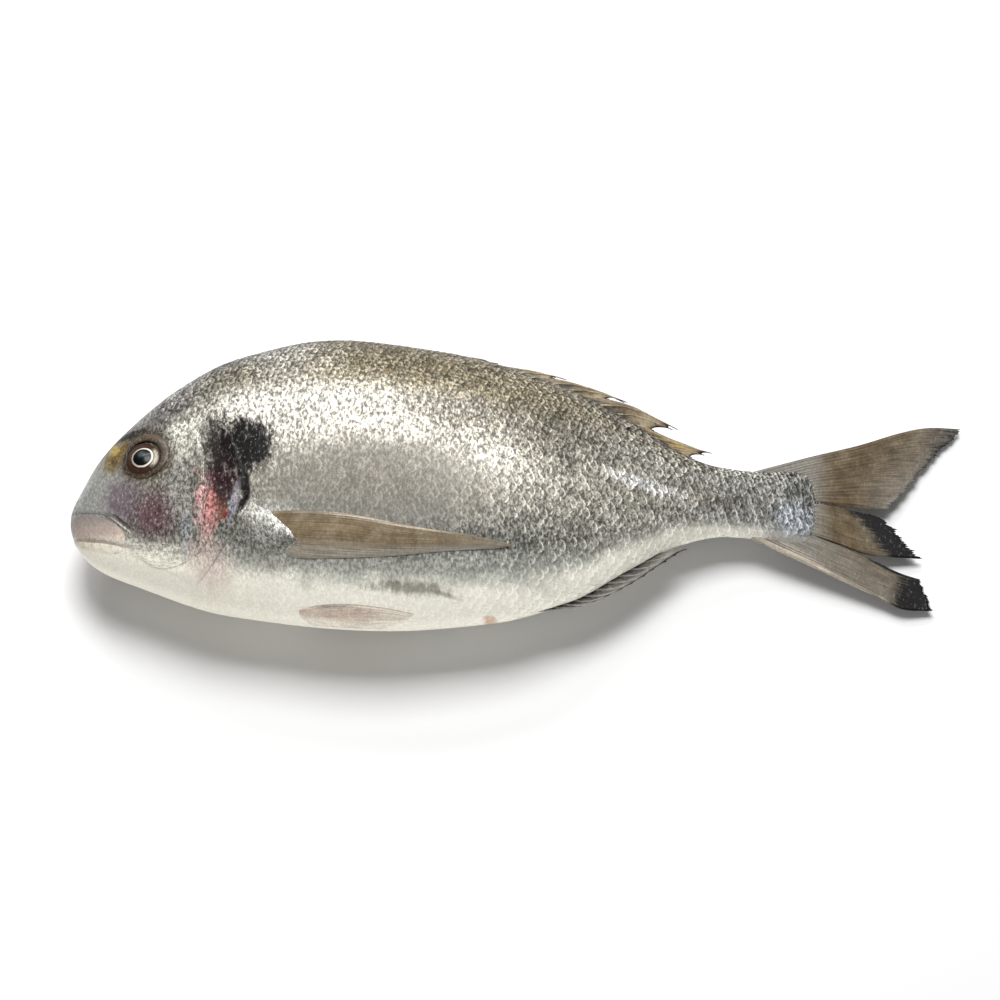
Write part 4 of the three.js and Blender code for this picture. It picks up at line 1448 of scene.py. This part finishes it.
# %% Outlines of the tail blades
TAIL_BLADES = {
    "tail_upper": {
        "upper": [
            [231, 10.9], [252.9, 18.0], [270.3, 23.3], [285.8, 29.0], [296.0, 31.4], [307.5, 31.1],
        ],
        "lower": [
            [246, -2.0], [254.1, 0.9], [262.0, 0.7], [270.0, 0.5], [276.0, 0.4], [280.7, 0.6],
        ],
        "rays": 17,
        "fray": 1.5,
        "tip_start": (0.82, 1.04),
        "margins": (0.02, 0.0, 0.0),
        "margin_run": edge_at_root,
        "black_share": 0.72,
        "grey": grey_towards_tip,
    },
    "tail_middle": {
        "upper": [
            [246, 2.0], [256.5, 1.2], [263.0, 0.0], [269.0, -1.0], [275.3, -2.1], [279.8, -3.9],
        ],
        "lower": [
            [246, -9.0], [261.3, -13.1], [268.9, -15.8], [276.2, -17.1], [283.9, -17.1],
            [291.2, -17.2],
        ],
        "rays": 9,
        "fray": 1.8,
        "tip_start": (0.58, 0.68),
        "margins": (0.2, 0.02, 0.0),
        "margin_run": edge_at_tip,
        "black_share": 1.0,
        "grey": grey_towards_tip,
    },
    "tail_lower": {
        "upper": [
            [246, -8.0], [259.9, -12.8], [268.9, -16.2], [276.2, -19.4], [283.6, -22.7],
            [290.5, -24.7],
        ],
        "lower": [
            [229.5, -11.6], [249.9, -20.7], [262.0, -26.0], [275.7, -32.1], [284.0, -35.8],
            [294.5, -35.9],
        ],
        "rays": 11,
        "fray": 1.0,
        "tip_start": (0.8, 0.7),
        "margins": (0.1, 0.0, 0.8),
        "margin_run": edge_at_tip,
        "black_share": 1.0,
        "grey": grey_throughout,
    },
}
print("rays in the tail:", sum(blade["rays"] for blade in TAIL_BLADES.values()))

# %% Tail blades
TAIL_CELLS_ALONG = 70
TAIL_ROOT_HALF = 1.4
TAIL_TIP_HALF = 0.22
FRAY_START = 0.86  # share of the length of a blade
SHEATH_START = 253  # the scaly sheath of the root is grey up to here
SHEATH_END = 262


def tail_marks(blade, u, v, s):
    """How black, how grey and how pale each point of a blade is."""
    first, last = blade["tip_start"]
    upper_margin, lower_margin, pale_margin = blade["margins"]
    run = blade["margin_run"](v)
    upper_black = run * (1 - eased(u, 0.3 * upper_margin, 0.02 + 1.6 * upper_margin))
    lower_black = 0.5 * run * eased(u, 0.97 - lower_margin, 1.0)
    tip_black = eased(v - (first + (last - first) * u), -0.16, 0.14)
    edge_black = 0.66 * eased(v, 0.9, 0.98)
    black = np.maximum.reduce([tip_black, upper_black, lower_black, edge_black])
    grey = np.maximum(blade["grey"](u, v), 1 - eased(s, SHEATH_START, SHEATH_END))
    pale = pale_margin * eased(u, 0.5 + 0.4 * eased(v, 0.1, 0.4), 0.98)
    return blade["black_share"] * black, grey, pale * (1 - eased(v, 0.55, 0.75))


def make_tail_blade(name, blade, seed):
    rays = blade["rays"]
    rng = np.random.default_rng(seed)
    mesh = mesh_of(name, flat_slab(CELLS_PER_RAY * rays, TAIL_CELLS_ALONG))
    u, v, w = points_of(mesh).T
    s, y = between(blade["upper"], blade["lower"], u, v)
    ridge = ray_ridges(u, v, rays, 1.0)
    torn = np.interp(u, np.linspace(0, 1, rays + 1), rng.uniform(0, 1, rays + 1))
    split = np.interp(u, np.linspace(0, 1, 3 * rays + 1), rng.uniform(0, 1, 3 * rays + 1))
    # Each ray loses its own share of its tip, and the web between two rays a little more.
    loss = 1.1 * torn + 0.7 * split + 0.5 * (1 - ridge) - 0.8
    s = s - blade["fray"] * loss * eased(v, FRAY_START, 1)
    rim = np.clip(25 * np.minimum.reduce([u, 1 - u, 1.02 - v]), 0.15, 1)
    half = TAIL_ROOT_HALF + (TAIL_TIP_HALF - TAIL_ROOT_HALF) * np.sqrt(v)
    half = ribbed(half, ridge) * rim
    z = mid_height(s) + slab_between(w, -half, half)
    remember(mesh, "strip", (u * rays, v, ridge))
    remember(mesh, "marks", tail_marks(blade, u, v, s))
    wrap(mesh, np.stack([s, y, z], axis=-1))
    add_piece(mesh, FINS["fin"])


for seed, (name, blade) in enumerate(TAIL_BLADES.items()):
    make_tail_blade(name, blade, seed)

# %% [markdown]
# ## Fins along the back and the belly
# These lie folded: each ray starts under the skin, slopes towards the tail and ends just
# outside the outline, with the web between two rays falling back a little. The rays are
# tapered pins on the web, with dark tips that stand clear of it. Along the back one ray in
# three is short, so that the edge is ragged.

# %% The two folded fins
# Each fin gives where its rays start, how far they reach as shares of their length, how much
# of a ray stands clear of the web, and a ray's length and rise by its distance from the snout.
DORSAL = {
    "start": 72,
    "end": 205,
    "rays": 24,
    "outward": 1,
    "line": back_line,
    "material": FINS["straw_fin"],
    "reaches": (1.0, 0.82, 0.44),
    "tip": 0.04,
    "length": smooth_profile([[72, 12], [118, 16], [150, 28], [168, 32], [186, 30], [205, 18]]),
    "rise": smooth_profile(
        [[72, 0.2], [128, 0.8], [150, 4.4], [168, 7.6], [178, 8.6], [190, 5.6], [205, 2.6]]
    ),
}
ANAL = {
    "start": 152,
    "end": 194,
    "rays": 12,
    "outward": -1,
    "line": belly_line,
    "material": FINS["grey_fin"],
    "reaches": (0.94, 0.96),
    "tip": 0.02,
    "length": smooth_profile([[152, 14], [172, 18], [194, 17]]),
    "rise": smooth_profile([[152, 0.8], [163, 3.9], [173, 5.4], [184, 4.6], [194, 2.4]]),
}
print("rays on the back:", DORSAL["rays"], "and on the belly:", ANAL["rays"])

# %% Folded webs
FIN_ROOT_SINK = 3
REACH_SPREAD = 0.05  # the most that a ray falls short of its reach
WEB_SAG = 0.03  # of the web between two rays
WEB_HALF = 0.16
WEB_CELLS_ALONG = 14
GILT_START = 186  # the last rays of the back are gilt
GILT_FULL = 196


def fold_point(fin, root, v):
    """A point of a folded fin: v from 0 at its root to 1 at its edge."""
    s = root + fin["length"](root) * v
    stand = fin["rise"](root) * (1 - (1 - v) ** 2) - FIN_ROOT_SINK * (1 - v) ** 2
    return s, fin["line"](s) + fin["outward"] * stand


def ray_reaches(fin, seed):
    """How far each ray of a folded fin reaches, as a share of its length."""
    rng = np.random.default_rng(seed)
    return np.resize(fin["reaches"], fin["rays"]) - rng.uniform(0, REACH_SPREAD, fin["rays"])


def ray_roots(fin):
    return np.linspace(fin["start"], fin["end"], fin["rays"])


def make_folded_web(name, fin, seed):
    mesh = mesh_of(name, flat_slab(CELLS_PER_RAY * fin["rays"], WEB_CELLS_ALONG))
    u, v, w = points_of(mesh).T
    root = fin["start"] + (fin["end"] - fin["start"]) * u
    between_rays = np.clip(u * (fin["rays"] - 1), 0, fin["rays"] - 1.001)
    ray = between_rays.astype(int)
    fold = between_rays - ray
    near, far = ray_reaches(fin, seed)[ray], ray_reaches(fin, seed)[ray + 1]
    reach = near + (far - near) * fold - fin["tip"]
    s, y = fold_point(fin, root, v * (reach - WEB_SAG * np.sin(np.pi * fold)))
    ridge = 0.5 + 0.5 * np.cos(2 * np.pi * fold)
    half = WEB_HALF * (0.6 + 0.4 * ridge) * (1.6 - v)
    z = mid_height(s) + slab_between(w, -half, half)
    remember(mesh, "strip", (u * fin["rays"], v, ridge))
    gilt = eased(root, GILT_START, GILT_FULL) * eased(v, 0.35, 0.55) * (1 - eased(v, 0.7, 0.95))
    band = eased(v, 0.55, 0.75) * (1 - eased(v, 0.8, 0.95))
    # The web is darker at its root, which on the anal fin under the belly is painted shade, and darker
    # at its tips, the rays' own dark ends.
    shade = 0.4 + 0.3 * (1 - eased(v, 0.2, 0.5)) + 0.3 * eased(v, 0.85, 1.0) - 0.4 * gilt
    remember(mesh, "marks", (shade, 0.8 * band, 0.9 * gilt))
    wrap(mesh, np.stack([s, y, z], axis=-1))
    add_piece(mesh, fin["material"])


make_folded_web("dorsal_web", DORSAL, 31)
make_folded_web("anal_web", ANAL, 32)

# %% Spines
SPINE_RADIUS = 0.52
SPINE_TAPER = (1.05, 0.3)  # shares of that radius at the root and at the tip


def one_spine():
    """A closed rod of radius 1 along z, from 0 to 1, cut into five rings."""
    bm = bmesh.new()
    bmesh.ops.create_cone(bm, cap_ends=True, segments=8, radius1=1, radius2=1, depth=1)
    bmesh.ops.translate(bm, verts=bm.verts, vec=(0, 0, 0.5))
    upright = [edge for edge in bm.edges if abs(edge.verts[0].co.z - edge.verts[1].co.z) > 0.5]
    bmesh.ops.subdivide_edges(bm, edges=upright, cuts=4, use_grid_fill=True)
    return mesh_of("spine", bm)


ONE_SPINE = one_spine()


def make_spines(name, fin, seed):
    mesh = copies_of(name, ONE_SPINE, fin["rays"])
    x, y, v = points_of(mesh).T
    each = len(ONE_SPINE.vertices)
    root, reach = np.repeat(ray_roots(fin), each), np.repeat(ray_reaches(fin, seed), each)
    s, height = fold_point(fin, root, v * reach)
    ahead_s, ahead_height = fold_point(fin, root, v * reach + 0.01)
    slope = np.arctan2(ahead_height - height, ahead_s - s)
    thick, thin = SPINE_TAPER
    radius = SPINE_RADIUS * (thick + (thin - thick) * v)
    s = s - np.sin(slope) * x * radius
    height = height + np.cos(slope) * x * radius
    depth = mid_height(s) + y * radius
    remember(mesh, "strip", (0.5, v, 1))
    remember(mesh, "marks", (0.15 + 0.8 * eased(v, 0.78, 0.94), 0.7, 0.0))
    wrap(mesh, np.stack([s, height, depth], axis=-1))
    add_piece(mesh, fin["material"])


print("faces in a spine:", len(ONE_SPINE.polygons))
make_spines("dorsal_spines", DORSAL, 31)
make_spines("anal_rays", ANAL, 32)

# %% [markdown]
# ## Fins on the flanks
# The long pectoral fin lies back along the flank, rooted in a scaly lobe, and the short pelvic
# fin lies under the belly. Each leaves the skin over the first part of its length.

# %% How the flank fins are stained, and where a highlight is painted on them
def pectoral_dark(u, v):
    return 0.3 * eased(v, 0.5, 0.8) * (1 - eased(u, 0.0, 0.2))


def pelvic_dark(u, v):
    return 0.55 * (1 - eased(u, 0.04, 0.2)) * eased(v, 0.15, 0.3) * (1 - eased(v, 0.5, 0.75))


def glint_at(u, v):
    """A painted highlight along the upper edge."""
    return 0.9 * (1 - eased(u, 0.03, 0.12)) * eased(v, 0.3, 0.4) * (1 - eased(v, 0.62, 0.8))


# %% Flank fins
PECTORAL = {
    "upper": [
        [66, -14.0], [76, -13.8], [94, -15.0], [115.4, -19.0], [135.4, -21.4], [150.8, -24.0],
    ],
    "lower": [
        [68, -24.0], [77, -29.0], [91, -29.6], [109.5, -29.0], [128, -27.0], [145.0, -25.4],
    ],
    "rays": 14,
    "standoff": 1.0,
    "half": 0.24,
    "material": FINS["tan_fin"],
    "dark": pectoral_dark,
    "pale": 0.1,
    "pale_end": 0.5,
}
PELVIC = {
    "upper": [[76, -44.6], [88, -43.4], [102, -43.9], [117.4, -45.8]],
    "lower": [[76, -45.2], [87, -47.6], [100, -48.6], [113.5, -47.6]],
    "rays": 5,
    "standoff": 0.45,
    "half": 0.22,
    "material": FINS["pink_fin"],
    "dark": pelvic_dark,
    "pale": 0.1,
    "pale_end": 1.0,
}
print("rays in a pectoral fin:", PECTORAL["rays"], "and in a pelvic fin:", PELVIC["rays"])

# %% Build the flank fins
FLANK_CELLS_ALONG = 80
FAN_SPREAD = 0.5  # how much closer together the rays stand at the root than at the tip
FAN_MIDDLE = 0.3  # a ray at this share of the width runs straight
FLANK_ROOT_SINK = 0.5
LIFT_END = 0.25  # share of its length over which a fin leaves the skin
SETTLED = 0.7  # share of that lift which its lower edge lacks
PELVIC_TUCK = 3  # the lower pelvic fin is pressed further up under the belly


def make_flank_fin(name, fin, side_name, tuck=0):
    side = SIDES[side_name]
    rays = fin["rays"]
    cells = (CELLS_PER_RAY * rays, FLANK_CELLS_ALONG)
    mesh = mesh_of(name + "_" + side_name, flat_slab(*cells))
    u, v, w = points_of(mesh).T
    fanned = u + FAN_SPREAD * (u - FAN_MIDDLE) * (1 - v) ** 2
    s, y = between(fin["upper"], fin["lower"], u, v)
    ridge = ray_ridges(fanned, v, rays, 0.0)
    lifted = fin["standoff"] * (1 - SETTLED * eased(u, 0.45, 1.0))
    stand = -FLANK_ROOT_SINK + (lifted + FLANK_ROOT_SINK) * eased(v, 0, LIFT_END)
    rim = np.clip(20 * np.minimum.reduce([u, 1 - u, 1 - v]), 0.1, 1)
    half = fin["half"] * rim
    lift = slab_between(w, stand - half, stand + ribbed(half, ridge))
    remember(mesh, "strip", (fanned * rays, v, ridge))
    paler = np.clip(fin["pale"] + eased(u, 0.5, 0.9) + fin["pale_end"] * eased(v, 0.6, 1), 0, 1)
    remember(mesh, "marks", (fin["dark"](u, v), paler, glint_at(u, v)))
    wrap(mesh, flank_at(s, y + tuck, side, lift))
    add_piece(mesh, fin["material"])


for side_name in SIDES:
    make_flank_fin("pectoral_fin", PECTORAL, side_name)
    make_flank_fin("pelvic_fin", PELVIC, side_name, 0 if side_name == "left" else PELVIC_TUCK)

# %% Pectoral lobes
LOBE_UPPER = [[55.0, -6.0], [63.0, -9.8], [71.0, -14.0], [76.0, -18.5], [78.6, -22.6]]
LOBE_LOWER = [[55.0, -24.0], [63.0, -28.0], [70.0, -29.0], [75.6, -27.0], [78.6, -24.4]]
LOBE_LIFT = 1.9
LOBE_CELLS = (30, 40)
LOBE_SCALES = (13, 9, 0.04, 0.96)  # columns, rows, first and last share across it
LOBE_SEED = 41


def lobe_height(u, v):
    """The lobe rises towards its end, rounds off there and is arched across."""
    tall = (0.3 + 0.7 * v) * (1 - 0.45 * eased(v, 0.75, 1.0))
    arch = np.sin(np.pi * np.clip(u, 0, 1)) ** 0.7
    return -PLATE_SINK + (LOBE_LIFT * tall + PLATE_SINK) * arch


for side_name, side in SIDES.items():
    edges = (LOBE_UPPER, LOBE_LOWER)
    label = "pectoral_lobe_" + side_name
    make_strip(label, *edges, side, LOBE_CELLS, lobe_height, under_skin, SKIN)
    label = "pectoral_lobe_scales_" + side_name
    make_strip_scales(label, edges, side, lobe_height, LOBE_SCALES, LOBE_SEED, endwise=True)

# %% [markdown]
# ## The table, the light and the camera
# The fish lies on a plain white table under soft light. The main light stands high behind its
# back and a lower strip behind it draws the long highlight on the upper flank. A faint light
# close to the table fills the shade under the belly. The camera looks down on the left flank.

# %% Table
FLOOR_DROP = 0.2 * MM
FLOOR_HALF = 3.0
FLOOR_WHITE = (0.94, 0.94, 0.94, 1)


def make_floor():
    bm = bmesh.new()
    bmesh.ops.create_grid(bm, x_segments=1, y_segments=1, size=FLOOR_HALF)
    bmesh.ops.translate(bm, verts=bm.verts, vec=(0, 0, -FLOOR_DROP))
    floor = bpy.data.objects.new("table", mesh_of("table", bm))
    bpy.context.collection.objects.link(floor)
    material, _, shader = new_material("table", roughness=0.9, coat=0.0, specular=0.1)
    shader.inputs["Base Color"].default_value = FLOOR_WHITE
    floor.data.materials.append(material)


make_floor()

# %% Lights
AIM = Vector((-0.01, 0, 0.02))


def add_softbox(name, elevation, azimuth, distance, size, power):
    """A rectangular light: azimuth 0 stands behind the fish's back, 90 beyond its tail."""
    light = bpy.data.lights.new(name, "AREA")
    light.shape = "RECTANGLE"
    light.size, light.size_y = size
    light.energy = power
    lamp = bpy.data.objects.new(name, light)
    high, turn = math.radians(elevation), math.radians(azimuth)
    level = Vector((math.sin(turn), math.cos(turn), 0)) * math.cos(high)
    away = level + Vector((0, 0, math.sin(high)))
    lamp.location = AIM + away * distance
    lamp.rotation_euler = away.to_track_quat("Z", "Y").to_euler()
    bpy.context.collection.objects.link(lamp)


SOFTBOXES = {
    # elevation, azimuth, distance, size, power
    "key_softbox": (60, -3, 1.1, (0.6, 0.46), 13.0),
    "rear_softbox": (36, -12, 0.9, (0.6, 0.16), 4.0),
    "front_softbox": (9, 180, 1.2, (1.2, 0.3), 6.6),
}
for name, softbox in SOFTBOXES.items():
    add_softbox(name, *softbox)

# %% Sky
SKY_STRENGTH = 0.13

world = bpy.data.worlds.new("studio")
bpy.context.scene.world = world
world.use_nodes = True
background = world.node_tree.nodes["Background"]
background.inputs["Color"].default_value = (1, 1, 1, 1)
background.inputs["Strength"].default_value = SKY_STRENGTH
bpy.context.scene.view_settings.view_transform = "Standard"

# %% Camera
CAMERA_AIM = Vector((-0.00768, -0.00452, 0.015))
CAMERA_ELEVATION = 70
CAMERA_DISTANCE = 1.15
CAMERA_LENS = 120.7
CAMERA_SENSOR = 36

camera = bpy.data.objects.new("camera", bpy.data.cameras.new("camera"))
camera.data.lens = CAMERA_LENS
camera.data.sensor_width = CAMERA_SENSOR
high = math.radians(CAMERA_ELEVATION)
away = Vector((0, -math.cos(high), math.sin(high)))
camera.location = CAMERA_AIM + away * CAMERA_DISTANCE
camera.rotation_euler = away.to_track_quat("Z", "Y").to_euler()
bpy.context.collection.objects.link(camera)
bpy.context.scene.camera = camera

# %% Count the triangles and finish
print("triangles in all:", sum(TRIANGLES.values()))
